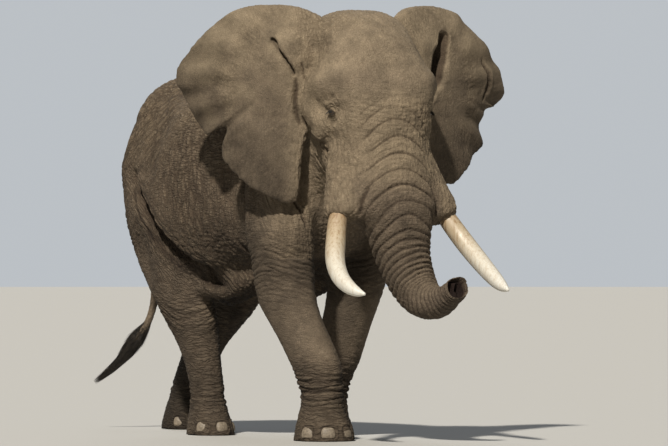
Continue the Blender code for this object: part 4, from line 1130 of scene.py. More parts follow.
def press_creases(surface):
    """Press the listed creases into the skin, and paint shade into their grooves. Each fades towards its ends.
    """
    tree = vertex_tree(surface.points)
    normals = surface.normals()
    heights = np.zeros(surface.count)
    for kind, path, width, depth, lip, *more in CREASES:
        step, higher = more or (0.0, path[0])
        for way, (high_side,) in zip(placed(kind, path), placed(kind, [higher]), strict=True):
            line = on_surface(surface, way, tree)
            reach = max(5 * width, STEP_REACH if step else 0.0)
            low, high = line.min(0) - reach, line.max(0) + reach
            near = np.flatnonzero(((surface.points > low) & (surface.points < high)).all(1))
            points = surface.points[near]
            at = line_places(points, line)
            fade = smooth_step(at.share, 0.0, 0.15) * smooth_step(at.share, 1.0, 0.82)
            away = at.away + 0.20 * width * noise(points, 2.5 * width, 11)
            groove = np.exp(-((np.maximum(away, 0) / width) ** 1.5) * 1.8)
            ridge = np.exp(-(((away - 1.7 * width) / width) ** 2))
            heights[near] += fade * (lip * ridge - depth * groove)
            if step:
                heights[near] += raised_side(points, normals[near], at, line, width, step, high_side)
            # painted shade in the groove
            surface.darken(fade * groove, near)
    surface.lift(heights)


def press_dimples(surface):
    heights = np.zeros(surface.count)
    for kind, middle, radius, height in DIMPLES:
        for path in placed(kind, [middle]):
            heights += height * fading(away_from_path(surface.points, path), radius)
    surface.lift(heights)


# The trunk's rings: places down the trunk, with the gap between rings, their bow and their depth there
RING_PITCH = (
    (-0.50, -0.12, 0.30, 0.55, 0.75, 1.1, 1.5, 2.2),
    (0.05, 0.14, 0.145, 0.10, 0.068, 0.054, 0.044, 0.032),
)
RING_BOW = ((-0.5, 0.0, 0.5, 0.9, 1.3, 2.0), (0.30, 0.30, 0.24, 0.12, 0.05, 0.0))
RING_DEPTH = (
    (-0.5, -0.2, 0.0, 0.5, 0.9, 1.15, 1.45, 2.2),
    (0.003, 0.006, 0.013, 0.016, 0.014, 0.010, 0.0050, 0.005),
)


def bowed_run(at):
    """Places down the trunk, less what the rings bow by there."""
    return at.run - np.interp(at.run, *RING_BOW) * (1 - np.cos(np.clip(at.turn, -1.75, 1.75)))


def trunk_rings(surface, place):
    """The trunk's creases: arcs across the forehead's foot, and rings further down, closer and closer, with
    painted shade in their grooves.
    """
    at = place.trunk
    points = surface.points[at.near]
    run = bowed_run(at) + 0.020 * noise(points, 0.30, 21) + 0.007 * noise(points, 0.09, 22)
    steps = np.linspace(-0.6, 2.6, 1600)
    phases = np.concatenate([[0], np.cumsum(np.diff(steps) / np.interp(steps[1:], *RING_PITCH))])
    phase = np.interp(run, steps, phases) - np.interp(0.045, steps, phases)
    number = np.round(phase)
    pitch = np.interp(run, *RING_PITCH)
    gap = np.abs(phase - number) * pitch
    cell = np.stack([number, np.zeros_like(number), np.zeros_like(number)], 1).astype(np.int64)
    strength = 0.65 + 0.45 * hashed(cell, 5)
    spots = np.stack([at.across * 3, at.ahead * 3, number * 0.9], 1)
    strength = strength * (0.85 + 0.3 * noise(spots, 0.5, 23))
    depth = np.interp(at.run, *RING_DEPTH) * strength
    front = smooth_step(np.abs(at.turn + 0.10 * noise(points, 0.15, 25)), 1.30, 0.80)
    free = smooth_step(at.run, 0.38, 0.66)
    weight = at.weight * (front + (1 - front) * free) * smooth_step(at.run, -0.50, -0.25)
    width = np.clip(0.15 * pitch, 0.0068, 0.0105)
    groove = np.exp(-gap / width)
    swell = np.cos(np.clip(phase - number, -0.5, 0.5) * math.pi)
    second = np.abs(phase * 2.5 - np.round(phase * 2.5)) / 2.5 * pitch
    fine = np.exp(-second / (0.8 * width)) * smooth_step(noise(points, 0.12, 24), -0.3, 0.5)
    heights = np.zeros(surface.count)
    heights[at.near] = weight * depth * (0.30 * (1 - swell) - 1.15 * groove - 0.40 * fine)
    # painted shade in the rings' grooves
    surface.darken(weight * np.maximum(groove, 0.5 * fine), at.near)
    return heights


EAR_PITS = {  # the hollows where an ear folds onto the head, with painted shade on their front: a path in the head's frame, a radius and a depth
    "ear_left": [
        ([(0.835, -0.07, 3.33), (0.805, -0.03, 3.24), (0.775, -0.01, 3.14), (0.74, 0.0, 3.03)], 0.075, 0.085),
        ([(0.775, -0.01, 3.17), (0.745, 0.0, 3.08), (0.72, 0.01, 2.99)], 0.115, 0.080),
    ],
    "ear_right": [([(-0.72, -0.04, 3.27), (-0.66, 0.02, 3.16), (-0.60, 0.06, 3.04)], 0.050, 0.030)],
}


def ear_folds(surface, place):
    """Both faces of an ear's sheet bent together: soft folds that fan out from the root, and waved edges. The
    pits at the root and the fan's folds get painted shade.
    """
    normals = surface.normals()
    for name, at in place.ears.items():
        side = -1 if name == "ear_right" else 1
        spots = np.stack([at.out, at.z, np.full(surface.count, 3.0 * side)], 1)
        turn = np.arctan2(at.z - 2.95, at.out + 0.25)
        reach = np.hypot(at.z - 2.95, at.out + 0.25)
        fan = np.sin(26 * turn + 2.2 * noise(spots, 0.35, 31)) * smooth_step(reach, 0.55, 1.15)
        rear = smooth_step(at.out, 0.35, 0.75)
        bend = 0.017 * fan * rear + 0.014 * noise(spots, 0.34, 32) + 0.005 * noise(spots, 0.11, 33) * rear
        front = (normals * at.front_way).sum(1) > 0
        pit = np.zeros(surface.count)
        for path, radius, depth in EAR_PITS[name]:
            away = away_from_path(surface.points, placed("head", path)[0])
            pit += depth * np.where(front, fading(away, radius), fading(away, 2.2 * radius))
        # painted shade in the pits at the root and in the fan's folds
        dark = np.maximum(front * smooth_step(pit, 0.012, 0.040), 0.22 * smooth_step(-fan, 0.2, 0.9) * rear)
        surface.darken(at.weight * dark)
        surface.points += at.front_way * ((bend - pit) * at.weight)[:, None]


def grooves(coords, seed, width):
    """1 in the grooves between random cells of the coordinates, and 0 away from them."""
    first, second = cells(coords, seed)
    return np.exp(-(((second - first) / width) ** 2))


def ear_veins(surface, place):
    """Faint branching veins and fine creases on the ears, and long lines on their lobes. The creases and lines
    get painted shade.
    """
    heights = np.zeros(surface.count)
    for at in place.ears.values():
        on = at.weight > 0.01
        out, z, weight = at.out[on], at.z[on], at.weight[on]
        turn = np.arctan2(z - 2.75, out + 0.10)
        reach = np.hypot(z - 2.75, out + 0.10)
        spots = np.stack([out, z, np.zeros(len(z))], 1)
        drawn = np.stack([reach * 0.9, turn * 1.6, np.full(len(z), 2.0)], 1)
        vein = grooves(wobbled(drawn, 0.20, 0.10, 41) / 0.30, 42, 0.05) * smooth_step(reach, 1.0, 0.4)
        fan = np.stack([reach / 5, turn * 0.8, np.full(len(z), 5.0)], 1)
        rays = grooves(wobbled(fan, 0.10, 0.012, 46) / 0.034, 47, 0.20) * smooth_step(reach, 0.45, 0.85)
        crack = grooves(wobbled(spots, 0.10, 0.015, 43) / 0.026, 44, 0.24)
        amount = np.clip(0.5 + 0.8 * noise(spots, 0.22, 45), 0, 1)
        down = np.stack([out, z / 3.5, np.full(len(z), 8.0)], 1)
        long = grooves(wobbled(down, 0.12, 0.020, 48) / 0.030, 49, 0.24) * smooth_step(z, 2.95, 2.55)
        long = long * np.clip(0.6 + 0.9 * noise(spots, 0.16, 50), 0, 1)
        depth = 0.0018 * crack * amount + 0.0026 * rays * amount + 0.0030 * long
        heights[on] = weight * (0.0022 * vein - depth)
        shade = 0.34 * crack * amount + 0.26 * rays * amount
        surface.darken(weight * np.maximum(shade, 0.42 * long), on)
    return heights


# ---------------------------------------------------------------- wrinkles
def press_lines(surface, heights, weight, coords, depth, seed, groove_width=0.26, dark=0.48, swell=0.3):
    """Grooves between random cells of the coordinates, pressed by weight and given painted shade by the share
    `dark`. Long cells make lines.
    """
    near = weight > 0.02
    if not near.any():
        return
    first, second = cells(coords[near], seed)
    gap = second - first
    groove = np.exp(-((gap / groove_width) ** 2))
    heights[near] += 1.25 * weight[near] * depth * (swell * np.minimum(gap, 0.7) / 0.7 - groove)
    surface.darken(dark * np.minimum(weight[near], 1) * groove, near)


def round_leg(points, at, bow, rise, stretch, middle):
    """Coordinates whose long cells run round a leg. The lines arch up by the bow towards the turn of its
    middle, or sag there if the bow is below nought, and rise towards the front by this much."""
    arch = bow * (1 - np.cos(np.clip(at.turn - middle, -1.8, 1.8)))
    return np.stack([at.across / stretch, at.back / stretch, points[:, 2] + arch + rise * at.back], 1)


def beside_fold(points, path, reach):
    """1 on the fold between the belly and the thigh, on either side, falling to 0 at the reach."""
    mirrored = np.stack([np.abs(points[:, 0]), points[:, 1], points[:, 2]], 1)
    return fading(away_from_path(mirrored, path), reach)


def body_wrinkles(surface, place, heights, bent, patchy):
    """Flank, back, rump, belly and neck."""
    points = surface.points
    aft = smooth_step(points[:, 1], 0.10, 0.70)
    low = smooth_step(points[:, 2], 1.95, 1.50)
    neck = place.neck * (0.2 + 0.8 * smooth_step(points[:, 2], 3.05, 2.75))
    path = [(0.60, 0.86, 2.12), (0.68, 0.45, 1.72), (0.58, -0.10, 1.37), (0.48, -0.42, 1.29)]
    by_fold = beside_fold(points, path, 0.42) * place.flesh
    rest = place.torso * (1 - by_fold)
    rows = (  # weight, the way the lines run, how long they are, their pitch, depth and seed, and their look
        (rest * patchy, (0, -0.55, 1), 2.6, 0.026, 0.0026, 61),
        (rest * aft, (0, -0.75, 1), 6.0, 0.042, 0.0056, 62, 0.26, 0.72),
        (rest * (1 - aft) * patchy, (0, 0.10, 1), 4.0, 0.050, 0.0054, 63, 0.26, 0.72),
        (rest * low, (0, 1, 0.1), 3.0, 0.038, 0.0062, 67, 0.28, 0.78),
        (by_fold, (0, 0.77, 0.64), 8.0, 0.040, 0.0070, 64, 0.25, 0.70),
        (neck, (0, -0.65, -1), 10.0, 0.040, 0.0070, 65, 0.22, 0.6),
        (neck, (0, -0.75, -1), 3.5, 0.026, 0.0030, 66),
    )
    for weight, way, times, pitch, *look in rows:
        press_lines(surface, heights, weight, stretched(bent, way, times) / pitch, *look)


def leg_wrinkles(surface, place, heights, bent, patchy):
    """Rings of fine lines, with deep folds over the elbows, wrists, knees and ankles."""
    z = surface.points[:, 2]
    for number, (name, at) in enumerate(place.legs.items()):
        middle = 0.75 * LEG_SIDES[name]
        seed = 70 + 6 * number
        if name.startswith("front"):
            arm = at.weight * fading(np.abs(z - 1.50), 0.60)
            top = at.weight * smooth_step(z, 1.15, 1.6)
            wrist = at.weight * fading(np.abs(z - 0.42), 0.27)
            rest = at.weight * (1 - 0.70 * fading(np.abs(z - 0.95), 0.50))
            rows = (  # weight, bow, rise and stretch of the lines, pitch, depth and seed, and their look
                (arm, 0.16, -0.34, 8.0, 0.054, 0.0080, seed, 0.17, 0.62),
                (top, 0.20, -0.30, 6.0, 0.030, 0.0042, seed + 1, 0.24, 0.60),
                (wrist, -0.02, 0.06, 12.0, 0.050, 0.0120, seed + 2, 0.20, 0.72, 0.4),
            )
        else:
            knee = at.weight * fading(np.abs(z - 1.02), 0.34)
            ankle = at.weight * fading(np.abs(z - 0.33), 0.18)
            thigh = at.weight * smooth_step(z, 1.15, 1.45)
            rest = 0.8 * at.weight
            rows = (
                (knee, -0.12, 0.0, 8.0, 0.034, 0.0056, seed, 0.20, 0.50),
                (thigh, -0.05, 0.55, 6.0, 0.032, 0.0034, seed + 1, 0.22, 0.55),
                (ankle, -0.02, 0.0, 9.0, 0.040, 0.0080, seed + 2, 0.20, 0.50),
            )
        all_over = (
            (rest * patchy, 0.0, -0.1, 2.0, 0.024, 0.0018, seed + 3),
            (rest * (0.4 + 0.6 * patchy), 0.0, 0.0, 5.0, 0.040, 0.0024, seed + 4, 0.20),
        )
        for weight, bow, rise, stretch, pitch, *look in rows + all_over:
            coords = round_leg(bent, at, bow, rise, stretch, middle) / pitch
            press_lines(surface, heights, weight, coords, *look)


def head_wrinkles(surface, place, heights, bent, patchy):
    """Pebbles on the forehead, fine lines on the cheeks, pits behind them, level lines between the eyes."""
    points, head = surface.points, place.head
    z = points[:, 2]
    front = smooth_step(head[:, 1], 0.25, 0.50)
    brow = place.head_weight * front * smooth_step(z, 2.72, 2.95) * smooth_step(z, 3.60, 3.40)
    first, _ = cells(wobbled(points, 0.08, 0.008, 91) / 0.022, 92)
    rough = np.clip(0.6 + 0.6 * noise(points, 0.22, 93), 0.1, 1.0) * brow
    heights += rough * 0.0042 * (0.45 - np.minimum(first, 0.9))
    # painted shade between the forehead's pebbles
    surface.darken(rough * 0.30 * smooth_step(first, 0.50, 0.85))
    cheek = place.head_weight * (1 - brow) * patchy
    press_lines(surface, heights, cheek, stretched(bent, (0, 0.15, 1), 1.8) / 0.024, 0.0030, 94)
    press_lines(surface, heights, cheek, stretched(bent, (0, 0.20, 1), 4.0) / 0.044, 0.0036, 89, 0.20)
    for path in placed("head both", [(0.47, 0.16, 2.50), (0.44, 0.28, 2.40), (0.42, 0.40, 2.32)]):
        pitted = fading(away_from_path(points, path), 0.15) * place.flesh
        coords = stretched(bent, (0, 0.3, 1), 1.5) / 0.036
        # the pits get heavy painted shade
        press_lines(surface, heights, pitted, coords, 0.0100, 95, 0.28, 0.95, 0.5)
    between = place.head_weight * front * smooth_step(np.abs(head[:, 0]), 0.46, 0.25)
    between = between * smooth_step(z, 2.38, 2.55) * smooth_step(z, 3.00, 2.70)
    level = np.stack([head[:, 0] / 9, head[:, 1] / 9, z - 0.35 * head[:, 0] ** 2], 1)
    level = level + 0.010 * noise(points, 0.20, 88)[:, None] * (0, 0, 1)
    press_lines(surface, heights, 0.75 * between, level / 0.040, 0.0046, 96, 0.20, 0.42)
    upright = place.head_weight * smooth_step(np.abs(head[:, 0]), 0.22, 0.34) * smooth_step(z, 2.60, 2.40)
    press_lines(surface, heights, upright, stretched(bent, (0, 0.25, 1), 6.0) / 0.040, 0.0040, 87, 0.20)


def trunk_wrinkles(surface, place, heights):
    """Fine wrinkles between the trunk's rings, and upright cracks."""
    at = place.trunk
    run = bowed_run(at) + 0.006 * noise(surface.points[at.near], 0.08, 86)
    coords = np.zeros((surface.count, 3))
    weight = np.zeros(surface.count)
    weight[at.near] = at.weight * smooth_step(at.run, -0.35, 0.0)
    coords[at.near] = np.stack([at.across / 5.0, at.ahead / 5.0, run], 1)
    press_lines(surface, heights, weight, coords / 0.026, 0.0024, 97, 0.26, 0.3)
    coords[at.near] = np.stack([at.across, at.ahead, run / 3.0], 1)
    press_lines(surface, heights, weight, coords / 0.028, 0.0020, 98, 0.24, 0.25)


def wrinkles(surface, place):
    """The hide's wrinkles, by region, over soft lumps."""
    points = surface.points
    bent = wobbled(points, 0.30, 0.035, 51)
    bent = wobbled(bent, 0.09, 0.007, 54)
    patchy = np.clip(0.70 + 0.55 * noise(points, 0.38, 57), 0.15, 1.2)
    heights = place.flesh * (0.0050 * noise(points, 0.33, 58) + 0.0028 * noise(points, 0.14, 59))
    body_wrinkles(surface, place, heights, bent, patchy)
    leg_wrinkles(surface, place, heights, bent, patchy)
    head_wrinkles(surface, place, heights, bent, patchy)
    trunk_wrinkles(surface, place, heights)
    press_lines(surface, heights, place.tail, stretched(points, (1, 0, 0), 3.0) / 0.026, 0.0022, 99)
    return heights


# ---------------------------------------------------------------- eyes, lids and trunk tip
def eye_frame(side):
    """The eye's own axes: out, forward along the head, and up."""
    out = unit(head_way(side * math.sin(EYE_TURN + 0.35), math.cos(EYE_TURN + 0.35), 0.0))
    up = np.array((0.0, 0.0, 1.0))
    return out, unit(np.cross(up, out) * -side), up


LID_OVER = 0.006  # how far the lids stand over the ball
OPENING = (0.033, 0.018, 0.014)  # half length of the eye's opening, and its height above and below
LID_REACH = 0.16  # how far round an eye its lids and folds reach
LID_FOLDS = [  # folds round the eye: how far out, how deep, the turn of the middle from ahead, and the spread
    (0.027, 0.0030, 1.6, 1.9),
    (0.036, 0.0045, 1.7, 1.7),
    (0.047, 0.0050, 1.5, 1.6),
    (0.062, 0.0040, 1.8, 1.3),
    (0.026, 0.0030, -1.5, 1.7),
    (0.037, 0.0040, -1.3, 1.6),
    (0.051, 0.0045, -1.1, 1.4),
    (0.068, 0.0040, -1.3, 1.2),
]


def lid_folds(surface, near, u, w, open_share):
    """The heights of the folds round an eye, and of the rays behind it. Their grooves get painted shade."""
    turn = np.arctan2(w, u)
    oval = np.hypot(u / 1.35, w + 0.003) * (1 + 0.08 * noise(surface.points[near], 0.030, 34))
    folds = np.zeros(len(near))
    for radius, depth, middle, spread in LID_FOLDS:
        away = np.abs((turn - middle + math.pi) % (2 * math.pi) - math.pi)
        groove = np.exp(-np.abs(oval - radius) / (0.0022 + 0.03 * radius)) * fading(away, spread)
        groove = groove * (1 - open_share)
        folds -= depth * groove
        surface.darken(0.8 * groove, near)
    rays = np.maximum(np.sin(turn * 17 + 3 * noise(surface.points[near], 0.05, 35)), 0) ** 2
    rays = rays * fading(np.abs(np.abs(turn) - math.pi), 0.8)
    rays = rays * smooth_step(oval, 0.022, 0.034) * smooth_step(oval, 0.095, 0.055)
    surface.darken(0.5 * rays, near)
    return folds - 0.0022 * rays


def lids(surface, centre, side):
    """Lids drawn over an eyeball, with an almond opening and wrinkles round them."""
    out, ahead, up = eye_frame(side)
    off = surface.points - centre
    near = np.flatnonzero(((off * off).sum(1) < LID_REACH**2) & (off @ out > -0.03))
    n, u, w = off[near] @ out, off[near] @ ahead, off[near] @ up
    ring = np.hypot(u, w)
    dome = np.sqrt(np.maximum((EYE_RADIUS + LID_OVER) ** 2 - ring**2, 0.0))
    raised = np.maximum(n, np.where(ring < EYE_RADIUS + LID_OVER, dome, -1.0))
    half, above, below = OPENING
    lean = w + 0.12 * u
    height = np.where(lean > 0, above, below) * np.maximum(1 - (u / half) ** 2, 0)
    past = np.abs(lean) - height
    open_share = smooth_step(past, 0.0015, -0.0015) * (np.abs(u) < half)
    floor = np.sqrt(np.maximum((EYE_RADIUS - 0.007) ** 2 - ring**2, 0.0))
    lidded = raised * (1 - open_share) + floor * open_share
    folds = lid_folds(surface, near, u, w, open_share)
    rim = np.exp(-(((past - 0.004) / 0.003) ** 2)) * (np.abs(u) < half * 1.2) * (1 - open_share)
    ends = smooth_step(u, half * 1.35, half * 1.0) * smooth_step(u, -half * 1.9, -half * 1.1)
    # Painted shade in the opening, under the lids and lashes round it and in the socket above, together with
    # the eye's own dark skin; the tear streak is a stain.
    dark = 0.90 * smooth_step(past, 0.015, 0.004) * ends
    tear = smooth_step(w, -0.004, -0.014) * smooth_step(w, -0.085, -0.055)
    tear = tear * np.exp(-(((u - 0.85 * half) / 0.005) ** 2))
    socket = 0.30 * fading(np.hypot(u / 1.3, w - 0.115), 0.075)
    for shade in (open_share, dark, 0.75 * tear, socket):
        surface.darken(shade, near)
    folds += 0.0025 * rim - 0.004 * tear
    surface.points[near] += np.outer(lidded - n + folds * smooth_step(ring, 0.15, 0.11), out)


TIP_TURNS = (-0.45, 0.90, 0.15)  # the way the trunk's open end is turned, in the head's own frame


def trunk_end(surface):
    """The trunk's open end: cut aslant, with the two nostrils and a finger above and below."""
    rows = head_path(TRUNK, 12)
    tip, before, radius = rows[-1, :3], rows[-4, :3], rows[-1, 3]
    way = unit(tip - before)
    left = unit(head_left() - way * (way @ head_left()))
    front = np.cross(way, left)
    off = surface.points - tip
    near = np.flatnonzero((off * off).sum(1) < 0.20**2)
    along, a, b = off[near] @ way, off[near] @ left, off[near] @ front
    share = np.hypot(a, b) / radius
    cap = (surface.normals()[near] @ way > 0.6) & (share < 0.9)
    plane = np.stack([np.ones(len(near)), a, b], 1)
    along = along - plane @ np.linalg.lstsq(plane[cap], along[cap], rcond=None)[0]
    flare = 0.16 * smooth_step(along, -0.17, -0.01)
    tip_way = head_way(*TIP_TURNS)
    aslant = unit(tip_way - way * (way @ tip_way))
    cut = -0.62 * (off[near] @ aslant) * smooth_step(along, -0.16, -0.02)
    lip = smooth_step(along, -0.050, -0.004) * smooth_step(share, 0.74, 0.90)
    upper = 0.034 * np.exp(-((np.arctan2(a, b) / 0.50) ** 2))
    lower = 0.010 * np.exp(-((np.arctan2(a, -b) / 0.60) ** 2))
    finger = lip * (upper + lower)
    cup = smooth_step(share, 0.88, 0.78) * smooth_step(along, -0.035, -0.015)
    nostril = np.hypot((np.abs(a) - 0.33 * radius) / (0.30 * radius), b / (0.52 * radius))
    depth = 0.070 + 0.060 * smooth_step(nostril, 1.25, 0.80)
    surface.points[near] += np.outer(cut + finger - cup * depth, way)
    surface.points[near] += np.outer(finger, -0.25 * front)
    surface.points[near] += (flare * a)[:, None] * left + (flare * b)[:, None] * front
    # painted shade inside the open end
    inside = smooth_step(share, 0.86, 0.76) * smooth_step(along, -0.035, -0.015)
    surface.darken(inside, near)
    surface.inside[near] = np.maximum(surface.inside[near], inside)


# ---------------------------------------------------------------- unwrapping
SHEET = 8.0  # metres of skin across the whole unwrap
PATCH = 0.003  # how much of the unwrap's width a strand of hair takes
CHARTS = {  # where each chart's middle lies on the unwrap, in metres
    "torso": (2.6, 2.2), "head": (6.65, 1.15), "trunk": (7.2, 3.0), "tail": (5.75, 2.4),
    "ear_right_front": (0.35, 2.45), "ear_right_back": (1.75, 2.45),
    "ear_left_front": (3.15, 2.45), "ear_left_back": (4.55, 2.45),
    "front_right": (0.8, 6.6), "front_left": (2.4, 6.6), "hind_right": (4.0, 6.6), "hind_left": (5.6, 6.6),
}


def chart_of(surface, place, normals):
    """The name of the chart that each point belongs to, as a number in the order of CHARTS."""
    names = list(CHARTS)
    chart = np.full(surface.count, names.index("torso"))
    chart[place.head_weight > 0.4] = names.index("head")
    chart[place.trunk_weight > 0.5] = names.index("trunk")
    for name, at in place.legs.items():
        chart[at.weight > 0.5] = names.index(name)
    chart[place.tail > 0.5] = names.index("tail")
    for name, at in place.ears.items():
        on = at.weight > 0.3
        facing = normals @ at.front_way > 0
        chart[on & facing] = names.index(name + "_front")
        chart[on & ~facing] = names.index(name + "_back")
    return chart


def chart_places(name, surface, place):
    """Each point's turn or offset across a chart, the radius that makes metres of it, and the metres along.
    The turn is kept apart so that faces over the seam can be mended."""
    points, head = surface.points, place.head
    x, y, z = points.T
    if name == "torso":
        up = z - 2.15
        past_end = smooth_step(np.abs(y - 0.1), 0.7, 1.1) * np.sign(y - 0.1)
        return np.arctan2(x, up), 0.80, y + np.maximum(0.75 - np.hypot(x, up), 0) * past_end
    if name == "head":
        left, ahead = head[:, 0], head[:, 1] - 0.2
        crown = np.maximum(0.4 - np.hypot(left, ahead), 0) * (z > 3.2)
        return np.arctan2(left, ahead), 0.42, z - 1.75 + crown
    if name == "trunk":
        turn, run = np.zeros(surface.count), np.zeros(surface.count)
        turn[place.trunk.near] = place.trunk.turn
        run[place.trunk.near] = place.trunk.run
        return turn, 0.21, run
    if name == "tail":
        return np.arctan2(x - 0.05, y - 1.72), 0.07, z - 0.3
    if name.startswith("ear"):
        at = place.ears[name.rsplit("_", 1)[0]]
        return at.out, 1.0, at.z
    at = place.legs[name]
    sole = (z < 0.004) * np.maximum(0.24 - np.hypot(at.across, at.back), 0)
    return at.turn, 0.24, z - sole


def unwrap(surface, place, chart):
    """Give the skin its map, and find each point's spot on it. A face takes its first corner's chart."""
    mesh = surface.made.data
    corners = read(mesh.loops, "vertex_index", np.int64)
    starts = read(mesh.polygons, "loop_start", np.int64)
    leader = corners[np.repeat(starts, read(mesh.polygons, "loop_total", np.int64))]
    spots = np.zeros((len(corners), 2))
    for number, (name, (x, y)) in enumerate(CHARTS.items()):
        mine = chart[leader] == number
        turn, radius, v = chart_places(name, surface, place)
        u = turn[corners[mine]]
        if not name.startswith("ear"):
            u = u + 2 * math.pi * np.round((turn[leader[mine]] - u) / (2 * math.pi))
        spots[mine, 0] = (u * radius + x) / SHEET
        spots[mine, 1] = (v[corners[mine]] + y) / SHEET
    store_map(mesh, np.clip(spots, 0, 1))
    map_spots = np.zeros((surface.count, 2))
    map_spots[corners] = spots
    return map_spots


def store_map(mesh, spots):
    layer = mesh.uv_layers.new(name=MAP)
    layer.uv.foreach_set("vector", spots.astype(np.float32).ravel())


# ---------------------------------------------------------------- colours
# The hide at its palest and dustiest, between, and at its barest
DUST = np.array((0.300, 0.235, 0.155))
HIDE = np.array((0.205, 0.158, 0.108))
SHADE = np.array((0.135, 0.104, 0.074))
INSIDE_SHADE = np.array((0.050, 0.028, 0.020))  # painted shade inside the trunk's end
EYE_WHITE = np.array((0.16, 0.09, 0.06))
EYE_IRIS = np.array((0.22, 0.105, 0.03))
EYE_PUPIL = np.array((0.004, 0.003, 0.002))


def hide_colours(surface, place, normals):
    """The hide's broad colours: dusty above and on the ears' outer faces, duller below, and painted shade on
    what faces down or in.
    """
    points, z = surface.points, surface.points[:, 2]
    dusty = 0.30 + 0.30 * smooth_step(normals[:, 2], -0.3, 0.9) + 0.22 * smooth_step(z, 1.6, 3.0)
    dusty += 0.16 * noise(points, 0.42, 101) + 0.10 * noise(points, 0.13, 102)
    dusty += place.ear * (0.25 * smooth_step(z, 2.6, 3.3) + 0.16 * noise(points, 0.09, 103))
    forehead = smooth_step(place.head[:, 1], 0.25, 0.50) * smooth_step(z, 2.72, 2.95)
    dusty += place.head_weight * (0.38 - 0.32 * forehead)
    dusty -= 0.22 * place.trunk_weight + 0.15 * place.leg
    dusty -= 0.10 * place.ear * smooth_step(z, 2.7, 2.1)
    dusty = np.clip(dusty, 0, 1)[:, None]
    inside = surface.inside[:, None]
    tone = SHADE + (HIDE - SHADE) * np.minimum(dusty * 2, 1) + (DUST - HIDE) * np.maximum(dusty * 2 - 1, 0)
    tone = tone * (1 - np.clip(dullness_and_shade(points, place, normals), 0, 0.72))[:, None]
    return tone * (1 - inside) + INSIDE_SHADE * inside


def dullness_and_shade(points, place, normals):
    """How much darker the hide is made: less dust on the flanks, legs and ears' edges, and painted shade, with
    less dust, on what faces down or in.
    """
    z = points[:, 2]
    dull_and_shade = place.torso * (0.03 * smooth_step(z, 2.75, 2.20) + 0.27 * smooth_step(z, 2.0, 1.6))
    for name, at in place.legs.items():
        if name.startswith("front"):
            own = 0.42 * fading(np.abs(z - 1.70), 0.95) + 0.34 * smooth_step(z, 0.75, 0.40)
        else:
            own = 0.14 + 0.22 * smooth_step(z, 0.80, 0.40)
        # painted shade on the legs' inner faces, which also hold less dust
        inward_shade = smooth_step(-normals[:, 0] * LEG_SIDES[name], 0.1, 0.7) * smooth_step(z, 2.0, 1.4)
        dull_and_shade += at.weight * (own + (0.34 if name.startswith("front") else 0.50) * inward_shade)
    for at in place.ears.values():
        rim = smooth_step(at.out, 0.50, 0.95)
        dull_and_shade += at.weight * (0.14 + 0.26 * smooth_step(at.z, 2.75, 2.35) + 0.26 * rim)
    # painted shade, with less dust, on what faces down
    return dull_and_shade + 0.34 * place.flesh * smooth_step(-normals[:, 2], 0.45, 0.85) * smooth_step(z, 0.3, 0.6)


def line_weights(surface, place):
    """Where the finest lines run: level, upright, along the flank's fold, and up over the haunch."""
    points = surface.points
    z = points[:, 2]
    torso = place.torso * (1 - place.tail)
    aft = smooth_step(points[:, 1], 0.0, 0.7)
    flank_low = smooth_step(z, 2.35, 1.95)
    path = [(0.60, 0.95, 2.00), (0.68, 0.60, 1.70), (0.60, 0.40, 1.40)]
    by_fold = beside_fold(points, path, 0.50) * place.flesh * smooth_step(z, 1.0, 1.3)
    fore = place.legs["front_right"].weight + place.legs["front_left"].weight
    legs = 0.75 * place.leg * (1 - 0.75 * fore * smooth_step(z, 0.55, 0.75))
    level = np.maximum(torso * (1 - 0.6 * aft * (1 - flank_low)), legs) + 0.16 * place.head_weight
    level = np.maximum(level, 0.3 * place.trunk_weight * smooth_step(z, 1.45, 1.6))
    upright = torso * (0.35 + 0.65 * flank_low) + 0.20 * place.head_weight
    upright = upright + 0.25 * place.trunk_weight + 0.15 * place.leg + 0.15 * place.ear
    slant = torso * aft * (1 - flank_low)
    keep = 1 - 0.75 * by_fold
    return np.clip(np.stack([level * keep, upright * keep, by_fold, slant * keep], 1), 0, 1)


def store_attribute(mesh, name, values):
    """A number for each point, or a colour for each point."""
    if values.ndim == 1:
        mesh.attributes.new(name, "FLOAT", "POINT").data.foreach_set("value", values.astype(np.float32))
        return
    four = values if values.shape[1] == 4 else np.column_stack([values, np.ones(len(values))])
    made = mesh.attributes.new(name, "FLOAT_COLOR", "POINT")
    made.data.foreach_set("color", four.astype(np.float32).ravel())


